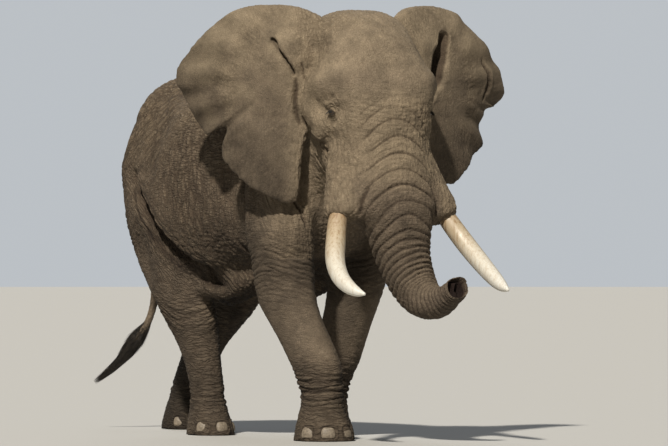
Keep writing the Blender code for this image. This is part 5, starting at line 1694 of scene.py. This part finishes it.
# ---------------------------------------------------------------- materials
class Look:
    """The nodes of a material or a world, with short ways to add to them. A source is a socket, a number or a
    colour."""

    def __init__(self, made):
        self.made = made
        made.use_nodes = True
        self.tree = made.node_tree

    def put(self, source, socket):
        """Link a source to a socket, or set the socket to it."""
        if isinstance(source, bpy.types.NodeSocket):
            self.tree.links.new(source, socket)
        else:
            socket.default_value = (*source, 1) if socket.type == "RGBA" else source

    def feed(self, made, sources):
        """Put sources into a node's inputs, which are named or numbered."""
        for key, source in sources.items():
            self.put(source, made.inputs[key])
        return made

    def node(self, kind, sources=None, **settings):
        """A new node with these sources and settings."""
        made = self.tree.nodes.new("ShaderNode" + kind)
        for key, value in settings.items():
            setattr(made, key, value)
        return self.feed(made, sources or {})

    def spot(self):
        return self.node("TexCoord").outputs["Object"]

    def attribute(self, name, output="Color"):
        return self.node("Attribute", attribute_name=name).outputs[output]

    def noise(self, spot, scale, detail, roughness=0.5, output="Fac"):
        sources = {"Vector": spot, "Scale": scale, "Detail": detail, "Roughness": roughness}
        return self.node("TexNoise", sources).outputs[output]

    def net(self, spot, scale):
        """The distance from the edges of random cells."""
        sources = {"Vector": spot, "Scale": scale}
        return self.node("TexVoronoi", sources, feature="DISTANCE_TO_EDGE").outputs["Distance"]

    def ramp(self, source, *stops):
        """A ramp from a value to grey levels or colours."""
        made = self.node("ValToRGB", {"Fac": source})
        elements = made.color_ramp.elements
        while len(elements) < len(stops):
            elements.new(0.5)
        for element, (position, colour) in zip(elements, stops, strict=True):
            element.position = position
            element.color = (colour, colour, colour, 1) if isinstance(colour, float) else (*colour, 1)
        return made.outputs["Color"]

    def mixed(self, kind, share, first, second):
        made = self.node("Mix", data_type="RGBA", blend_type=kind)
        return self.feed(made, {0: share, 6: first, 7: second}).outputs[2]

    def math(self, operation, first, second):
        return self.node("Math", {0: first, 1: second}, operation=operation).outputs[0]

    def bump(self, height, strength, distance, under=None, invert=False):
        """A bump over another one, or over the mesh."""
        sources = {"Height": height, "Strength": strength, "Distance": distance}
        if under is not None:
            sources["Normal"] = under
        return self.node("Bump", sources, invert=invert).outputs["Normal"]

    def finished(self, sources):
        """The material, its shader given these sources."""
        self.feed(self.tree.nodes["Principled BSDF"], sources)
        return self.made


def look_of(name):
    return Look(bpy.data.materials.new(name))


FINE_LINES = [  # the finest lines: pitch, how long they are along each axis, and the turn of those axes
    (0.023, (5.0, 5.0, 1.0), (0.0, 0.0, 0.0)),
    (0.025, (1.0, 1.0, 5.0), (0.0, 0.0, 0.0)),
    (0.022, (1.0, 7.0, 1.0), (0.73, 0.0, 0.0)),
    (0.026, (1.0, 5.0, 1.0), (-0.93, 0.0, 0.0)),
]


def fine_lines(look, spot):
    """The grey level of the finest lines: 1 in a line."""
    drift = look.noise(spot, 5.0, 3.0, output="Color")
    moved = look.node("VectorMath", operation="MULTIPLY_ADD")
    moved = look.feed(moved, {0: drift, 1: (0.10, 0.10, 0.10), 2: spot}).outputs[0]
    split = look.node("SeparateColor", {0: look.attribute("lines")})
    shares = [*split.outputs[:3], look.attribute("lines", "Alpha")]
    total = 0.0
    for (pitch, stretch, turn), share in zip(FINE_LINES, shares, strict=True):
        drawn = look.node("Mapping", vector_type="TEXTURE")
        look.feed(drawn, {"Vector": moved, "Scale": stretch, "Rotation": turn})
        line = look.ramp(look.net(drawn.outputs[0], 1 / pitch), (0.0, 1.0), (0.20, 0.0))
        total = look.math("ADD", total, look.math("MULTIPLY", line, share))
    return look.math("MINIMUM", total, 1.0)


def hide_material():
    look = look_of("hide")
    spot = look.spot()
    blotches = look.noise(spot, 9.0, 6.0, 0.62)
    speckles = look.noise(spot, 85.0, 3.0, 0.7)
    crack_net, fine = look.net(spot, 75.0), look.net(spot, 190.0)
    lines = fine_lines(look, spot)
    colour = look.attribute("tone")
    # The blotches and speckles vary the hide's own tone; the cell edges of the crack net and the finest lines
    # get painted shade.
    for share, shade in (
        (1.0, look.ramp(blotches, (0.30, 0.72), (0.52, 1.0), (0.72, 1.22))),
        (0.8, look.ramp(speckles, (0.30, 0.78), (0.70, 1.18))),
        (0.6, look.ramp(crack_net, (0.0, 0.62), (0.16, 1.0))),
        (lines, (0.66, 0.63, 0.61)),
    ):
        colour = look.mixed("MULTIPLY", share, colour, shade)
    # Painted shade: the creases and hollows, with some dirt, are mixed towards a dark copy of the colour.
    deep = look.mixed("MULTIPLY", 1.0, colour, (0.30, 0.27, 0.26))
    colour = look.mixed("MIX", look.attribute("shade_and_dirt", "Fac"), colour, deep)
    rough = look.ramp(speckles, (0.30, 0.80), (0.70, 0.96))
    bump = look.bump(look.ramp(crack_net, (0.0, 0.0), (0.22, 1.0)), 0.55, 0.0035)
    bump = look.bump(look.ramp(fine, (0.0, 0.0), (0.25, 1.0)), 0.4, 0.0014, bump)
    bump = look.bump(lines, 0.9, 0.009, bump, invert=True)
    bump = look.bump(speckles, 0.35, 0.002, bump)
    sources = {"Base Color": colour, "Roughness": rough, "Specular IOR Level": 0.25, "Normal": bump}
    return look.finished(sources)


def ivory_material():
    look = look_of("ivory")
    down = look.attribute("along", "Fac")
    drawn = look.node("Mapping", {"Vector": look.spot(), "Scale": (3.0, 3.0, 0.35)}).outputs["Vector"]
    streaks = look.noise(drawn, 16.0, 5.0, 0.6)
    chips = look.ramp(look.net(drawn, 26.0), (0.0, (0.45, 0.34, 0.22)), (0.035, (1.0, 1.0, 1.0)))
    base = look.ramp(
        down,
        (0.0, (0.30, 0.20, 0.115)),
        (0.25, (0.47, 0.39, 0.275)),
        (0.55, (0.63, 0.60, 0.52)),
        (1.0, (0.70, 0.685, 0.63)),
    )
    white = (1.0, 1.0, 1.0)
    stain = look.ramp(streaks, (0.35, (0.52, 0.36, 0.20)), (0.50, (0.93, 0.88, 0.80)), (0.65, white))
    colour = look.mixed("MULTIPLY", look.ramp(down, (0.0, 0.95), (0.45, 0.45), (1.0, 0.22)), base, stain)
    colour = look.mixed("MULTIPLY", 0.35, colour, chips)
    rough = look.ramp(streaks, (0.3, 0.55), (0.7, 0.36))
    bump = look.bump(streaks, 0.4, 0.0015)
    return look.finished({"Base Color": colour, "Roughness": rough, "Normal": bump})


def nail_material():
    look = look_of("nail")
    streaks = look.noise(look.spot(), 60.0, 4.0)
    colour = look.ramp(streaks, (0.3, (0.120, 0.095, 0.066)), (0.7, (0.250, 0.205, 0.150)))
    return look.finished({"Base Color": colour, "Roughness": 0.6, "Normal": look.bump(streaks, 0.4, 0.002)})


def eye_material():
    look = look_of("eye")
    tone = look.attribute("tone")
    return look.finished({"Base Color": tone, "Roughness": 0.08, "Coat Weight": 1.0, "Coat Roughness": 0.03})


def hair_material():
    look = look_of("hair")
    streaks = look.noise(look.spot(), 40.0, 2.0)
    colour = look.ramp(streaks, (0.35, (0.012, 0.010, 0.008)), (0.7, (0.050, 0.040, 0.030)))
    return look.finished({"Base Color": colour, "Roughness": 0.45})


# ---------------------------------------------------------------- smaller pieces
TUSK_SIDES = 40


def fine_tusk(name, rows):
    """A tusk in fine rings, with its distance along as an attribute and faint flutes down its length."""
    path = head_path(rows, 10)
    rings = np.array(swept_rings(path, TUSK_SIDES, head_left()))
    turn = ring_angles(TUSK_SIDES)
    middle = path[:, None, :3]
    flutes = 1 + 0.010 * np.sin(5 * turn + 1.0) + 0.006 * np.sin(11 * turn)
    rings = middle + (rings - middle) * flutes[None, :, None]
    made = loft(name, rings)
    store_attribute(made.data, "along", np.repeat(np.linspace(0, 1, len(rings)), TUSK_SIDES))
    return made


def nail_frames(frame, shift):
    """Each nail's middle, half sizes and axes: out, up along the nail, and sideways."""
    found = []
    for name in sorted(n for n in frame["nodes"] if n.startswith("nail")):
        foot, number = name[5:].rsplit("_", 1)
        turn = math.radians(NAILS[foot][1][int(number) - 1])
        out = unit(np.array((math.sin(turn), -math.cos(turn), 0.30)))
        sideways = unit(np.cross((0.0, 0.0, 1.0), out))
        size = np.array(NAIL_SIZE) * (1.0 if foot.startswith("front") else 0.92)
        found.append((box_middle(name, shift), size, (out, np.cross(out, sideways), sideways)))
    return found


def fine_nails(frames):
    """Toenails: broad, square-shouldered, worn flat below, with growth lines."""
    shape = bmesh.new()
    bmesh.ops.create_uvsphere(shape, u_segments=64, v_segments=40, radius=1.0)
    shape.verts.ensure_lookup_table()
    ball = np.array([tuple(v.co) for v in shape.verts])
    corners = [[v.index for v in face.verts] for face in shape.faces]
    shape.free()
    side, front, top = ball.T
    points, faces = [], []
    for number, (middle, size, (out, upward, sideways)) in enumerate(frames):
        power = np.maximum(np.abs(side) ** 3.2 + np.abs(top) ** 3.2, 1e-9) ** (1 / 3.2)
        ring = np.hypot(side, top)
        across, up = side * ring / power, top * ring / power
        across = across * (1 - 0.10 * np.maximum(up, 0))
        level = np.stack([across, 0 * up, np.full(len(up), number * 7.0)], 1)
        up = np.maximum(up, -0.80 + 0.05 * noise(level, 0.3, 15))
        level[:, 1] = up
        growth = np.sin(34 * up + 2.0 * across**2 + 2.5 * noise(level, 0.6, 16))
        deep = front * (1 + 0.035 * growth) - 0.18 * np.maximum(-up, 0) * (front > 0)
        local = np.stack([deep * size[1], up * size[2], across * size[0]], 1)
        points.append(middle + local @ np.stack([out, upward, sideways]))
        faces += [[number * len(ball) + corner for corner in face] for face in corners]
    return mesh_object("nails", np.concatenate(points), faces)


def cuticles(surface, frames):
    """The fold of skin round each nail, and the toe's swelling behind it."""
    heights = np.zeros(surface.count)
    for middle, size, (out, up, sideways) in frames:
        off = surface.points - middle
        near = np.flatnonzero(((off * off).sum(1) < 0.17**2) & (off @ out > -0.07))
        a, b = np.abs(off[near] @ sideways) / size[0], np.abs(off[near] @ up) / size[2]
        share = (a**3.0 + b**3.0) ** (1 / 3.0)
        fold = np.exp(-(((share - 1.22) / 0.15) ** 2))
        seam = np.exp(-(((share - 1.0) / 0.07) ** 2))
        heights[near] += 0.008 * fold + 0.010 * fading(share, 2.2) - 0.003 * seam
        surface.darken(0.7 * seam, near)
    surface.lift(heights)


def eyeball(name, centre, side):
    """A ball with a dark iris and a pupil, and the cornea standing a little proud."""
    out, ahead, _ = eye_frame(side)
    shape = bmesh.new()
    bmesh.ops.create_uvsphere(shape, u_segments=48, v_segments=32, radius=1.0)
    mesh = mesh_of(shape, name)
    local = read(mesh.vertices, "co", float, 3)
    ring = np.arccos(np.clip(local[:, 2], -1, 1))
    proud = 1 + 0.06 * np.exp(-((ring / 0.42) ** 2))
    axes = np.stack([ahead, np.cross(out, ahead), out])
    mesh.vertices.foreach_set("co", (centre + (local * (EYE_RADIUS * proud)[:, None]) @ axes).ravel())
    iris = smooth_step(ring, 0.62, 0.56)[:, None]
    pupil = smooth_step(ring, 0.26, 0.22)[:, None]
    tone = EYE_WHITE * (1 - iris) + EYE_IRIS * iris
    store_attribute(mesh, "tone", tone * (1 - pupil) + EYE_PUPIL * pupil)
    mesh.update()
    return linked(name, mesh)


STRAND_SIDES = 3


def strands(name, paths, width):
    """Tapered strands as one mesh, widest near their roots. Each path is an array of points."""
    sides = STRAND_SIDES
    points, faces = [], []
    for path in paths:
        count = len(path)
        way = unit(np.gradient(path, axis=0))
        out = unit(np.cross(way, (0.31, 0.52, 0.79)))
        other = np.cross(way, out)
        taper = width * (1 - np.linspace(0, 1, count) ** 2 * 0.9)
        base = len(points)
        for i in range(count):
            for angle in ring_angles(sides):
                points.append(path[i] + taper[i] * (math.cos(angle) * out[i] + math.sin(angle) * other[i]))
        for i in range(count - 1):
            for side in range(sides):
                a, b = base + i * sides + side, base + i * sides + (side + 1) % sides
                faces.append((a, b, b + sides, a + sides))
        faces.append(tuple(base + side for side in range(sides))[::-1])
        faces.append(tuple(base + (count - 1) * sides + side for side in range(sides)))
    mesh = bpy.data.meshes.new(name)
    mesh.from_pydata([tuple(p) for p in points], [], faces)
    return linked(name, mesh)


def map_strands(mesh, paths, map_spots, tree):
    """Each strand's patch of the unwrap, at its root's place on the skin."""
    spots = []
    for path in paths:
        root = map_spots[tree.find(tuple(path[0]))[1]]
        for i in range(len(path)):
            for side in range(STRAND_SIDES):
                spots.append(root + PATCH * np.array((side / STRAND_SIDES - 0.5, i / len(path) - 0.5)))
    store_map(mesh, np.array(spots)[read(mesh.loops, "vertex_index", np.int64)])


def tail_hairs():
    """Paths of the stiff hairs of the tail's brush, flat across the way the bull walks."""
    chance = np.random.default_rng(7)
    path = splined(BRUSH, 10)
    way = unit(np.gradient(path[:, :3], axis=0))
    reference = np.array(BRUSH_FLAT)
    flat = unit(reference - way * (way @ reference)[:, None])
    thick = np.cross(way, flat)
    count = len(path)
    found = []
    for _ in range(1700):
        start = int(chance.beta(1.0, 1.7) * count * 0.62)
        length = int(count * chance.uniform(0.35, 0.60))
        end = min(count - 1 - int(chance.beta(1.0, 3.0) * 6), start + length)
        angle = chance.uniform(0, 2 * math.pi)
        out = math.sqrt(chance.uniform(0, 1)) if start > 0.12 * count else chance.uniform(0.75, 1.0)
        splay = chance.uniform(0.80, 1.12)
        steps = np.linspace(start, end, 9)
        rows = np.stack([np.interp(steps, np.arange(count), path[:, i]) for i in range(5)], 1)
        grown = np.linspace(0.70 if start > 0.2 * count else 0.5, 1.0, 9) * splay * out
        whole = np.round(steps).astype(int)
        points = rows[:, :3] + flat[whole] * (math.cos(angle) * rows[:, 3] * grown)[:, None]
        points += thick[whole] * (math.sin(angle) * rows[:, 4] * grown)[:, None]
        wave = np.sin(np.linspace(0, chance.uniform(2, 5), 9) + chance.uniform(0, 6))
        found.append(points + 0.004 * wave[:, None] * thick[whole])
    return found


def lash_paths(centre, side):
    """Paths of an eye's upper lashes."""
    chance = np.random.default_rng(11)
    out, ahead, up = eye_frame(side)
    found = []
    half, above, _ = OPENING
    for u in np.linspace(-0.95, 0.95, 80):
        x = u * half
        w = above * (1 - u * u) - 0.12 * x + 0.002
        start = np.sqrt(max((EYE_RADIUS + LID_OVER) ** 2 - x * x - w * w, 0)) - 0.004
        length = chance.uniform(0.028, 0.045)
        t = np.linspace(0, 1, 7)[:, None]
        lean = out * 0.75 + ahead * (0.30 * u + chance.uniform(-0.10, 0.10)) - up * 0.40
        root = centre + ahead * x + up * w + out * start
        found.append(root + t * length * unit(lean) - up * (0.45 * length * t**2))
    return found


# ---------------------------------------------------------------- studio
FLOOR_RADIUS = 160.0
FLOOR_COLOUR = (0.46, 0.45, 0.42)
SKY_LIGHT = (0.74, 0.79, 0.86)  # the surround's light on the bull
SKY_SEEN = (0.50, 0.53, 0.56)  # the surround as the camera sees it


def stage_and_light():
    """A pale floor, soft light from high behind the camera and from its left, and a pale surround."""
    shape = bmesh.new()
    bmesh.ops.create_circle(shape, cap_ends=True, segments=96, radius=FLOOR_RADIUS)
    mesh = mesh_of(shape, "floor")
    mesh.materials.append(look_of("floor").finished({"Base Color": FLOOR_COLOUR, "Roughness": 0.9}))
    linked("floor", mesh)

    sky = Look(bpy.data.worlds.new("studio"))
    bpy.context.scene.world = sky.made
    nodes = sky.tree.nodes
    lit = sky.feed(nodes["Background"], {"Color": SKY_LIGHT, "Strength": 0.095})
    seen = sky.node("Background", {"Color": SKY_SEEN})
    by_camera = sky.node("LightPath").outputs["Is Camera Ray"]
    choice = sky.node("MixShader", {0: by_camera, 1: lit.outputs[0], 2: seen.outputs[0]})
    sky.feed(nodes["World Output"], {"Surface": choice.outputs[0]})

    light("key", BACK - RIGHT * 0.28 + UP * 1.08, energy=4.6, spread=3.0, colour=(1.0, 0.95, 0.87))
    light("fill", UP * 0.85 - BACK - RIGHT * 0.15, energy=0.8, spread=40.0, colour=(0.88, 0.93, 1.0))


def light(name, towards, energy, spread, colour):
    """A lamp far off in a direction. Its spread is in degrees: the more, the softer its shadows."""
    lamp = linked(name, bpy.data.lights.new(name, "SUN"))
    lamp.data.energy = energy
    lamp.data.angle = math.radians(spread)
    lamp.data.color = colour
    lamp.rotation_mode = "QUATERNION"
    lamp.rotation_quaternion = towards.to_track_quat("Z", "Y")


VIEW_TURN = math.radians(35.0)  # the camera stands this far round to the bull's right from straight ahead
BACK = Vector((-math.sin(VIEW_TURN), -math.cos(VIEW_TURN), 0.0))  # the way from the bull to the camera
RIGHT = Vector((math.cos(VIEW_TURN), -math.sin(VIEW_TURN), 0.0))
UP = Vector((0.0, 0.0, 1.0))
DISTANCE = 45.0  # from the bull to the camera
EYE_LEVEL = 1.61  # the camera's height
VIEW_WIDTH = 5.661  # how much the view takes in from side to side, at the bull
ASIDE = 0.6356  # how far the view's middle lies right of the body's, at the bull
RISE = 0.18644  # how far the view's middle lies above the camera's height, at the bull


def camera(shift):
    """A camera far off at the height of the bull's middle, so that upright lines stay upright."""
    made = linked("camera", bpy.data.cameras.new("camera"))
    made.location = BACK * DISTANCE + RIGHT * ASIDE + Vector((*shift[:2], EYE_LEVEL))
    made.rotation_mode = "QUATERNION"
    made.rotation_quaternion = (-BACK).to_track_quat("-Z", "Y")
    made.data.sensor_width = 36.0
    made.data.lens = made.data.sensor_width * DISTANCE / VIEW_WIDTH
    made.data.shift_y = RISE / VIEW_WIDTH
    made.data.clip_end = 400.0
    bpy.context.scene.camera = made


# ---------------------------------------------------------------- all of it
def frame_shift():
    """From the body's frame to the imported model's: what a tusk's solid is away from its own table."""
    tusk = loft("measure", swept_rings(head_path(TUSK_LEFT, 1), 10, head_left()))
    own = np.array([vertex.co for vertex in tusk.data.vertices])
    bpy.data.objects.remove(tusk)
    low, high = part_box("tusk_left")
    return np.array((high[0] - own[:, 0].max(), low[1] - own[:, 1].min(), 0.0))


def box_middle(name, shift):
    low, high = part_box(name)
    return (np.array(low) + np.array(high)) / 2 - shift


def place_piece(made, look, shift, nodes):
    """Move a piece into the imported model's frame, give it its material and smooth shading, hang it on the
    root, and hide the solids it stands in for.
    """
    made.data.transform(Matrix.Translation(Vector(shift)))
    made.data.materials.clear()
    made.data.materials.append(look)
    for polygon in made.data.polygons:
        polygon.use_smooth = True
    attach(made, "root")
    if nodes:
        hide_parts(*nodes)


def bare_skin(eyes):
    """The skin before its folds, finer at the eyes and the trunk's end, and its weights and places."""
    made, trees = joined_skin()
    made.name = "skin"
    fine = [(middle, (0.17, 0.10)) for middle in eyes.values()]
    floored_and_finer(made, [*fine, (head_point(*TRUNK[-1][:3]), (0.15, 0.12))])
    surface = Surface(made)
    surface.smooth(3)
    place = where(surface, trees)
    for side in (1, -1):
        root = [head_point(side * 0.46, 0.05, z) for z in (3.45, 2.6)]
        surface.smooth(14, fading(away_from_path(surface.points, root), 0.16))
    surface.smooth(16, fading(away_from_path(surface.points, [row[:3] for row in TAIL[:2]]), 0.22))
    return surface, place


def fold_skin(surface, place, toes, eyes):
    """Raise every fold, ring and wrinkle on the skin, large ones first."""
    ear_folds(surface, place)
    press_dimples(surface)
    press_creases(surface)
    surface.lift(trunk_rings(surface, place))
    cuticles(surface, toes)
    surface.lift(wrinkles(surface, place) + ear_veins(surface, place))
    for name, centre in eyes.items():
        lids(surface, centre, EYES[name])
    trunk_end(surface)
    surface.points[:, 2] = np.maximum(surface.points[:, 2], 0.0)


def main():
    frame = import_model()
    bpy.context.scene.view_settings.view_transform = "Standard"
    shift = frame_shift()
    eyes = {name: box_middle(name, shift) for name in EYES}
    toes = nail_frames(frame, shift)
    surface, place = bare_skin(eyes)
    fold_skin(surface, place, toes, eyes)
    normals = surface.normals()
    map_spots = unwrap(surface, place, chart_of(surface, place, normals))
    skin = surface.made
    # the hide's tone, with painted shade on what faces down or in
    store_attribute(skin.data, "tone", hide_colours(surface, place, normals))
    # painted shade of the creases and hollows, with some dirt
    store_attribute(skin.data, "shade_and_dirt", np.clip(surface.shade_and_dirt, 0, 1))
    store_attribute(skin.data, "lines", line_weights(surface, place))
    tree = vertex_tree(surface.points)

    flesh_nodes = [n for n in frame["nodes"] if not n.startswith(("eye", "tusk", "nail", "tail_brush"))]
    place_piece(skin, hide_material(), shift, flesh_nodes)
    ivory = ivory_material()
    for name, rows in (("tusk_right", TUSK_RIGHT), ("tusk_left", TUSK_LEFT)):
        place_piece(fine_tusk(name + "_ivory", rows), ivory, shift, [name])
    glassy, hair = eye_material(), hair_material()

    def place_hair(name, paths, width, nodes):
        made = strands(name, paths, width)
        map_strands(made.data, paths, map_spots, tree)
        place_piece(made, hair, shift, nodes)

    for name, side in EYES.items():
        place_piece(eyeball(name + "_ball", eyes[name], side), glassy, shift, [name])
        place_hair(name + "_lashes", lash_paths(eyes[name], side), 0.0009, [])
    place_hair("tail_hair", tail_hairs(), 0.0022, ["tail_brush"])
    nail_nodes = [n for n in frame["nodes"] if n.startswith("nail")]
    place_piece(fine_nails(toes), nail_material(), shift, nail_nodes)
    stage_and_light()
    camera(shift)


main()
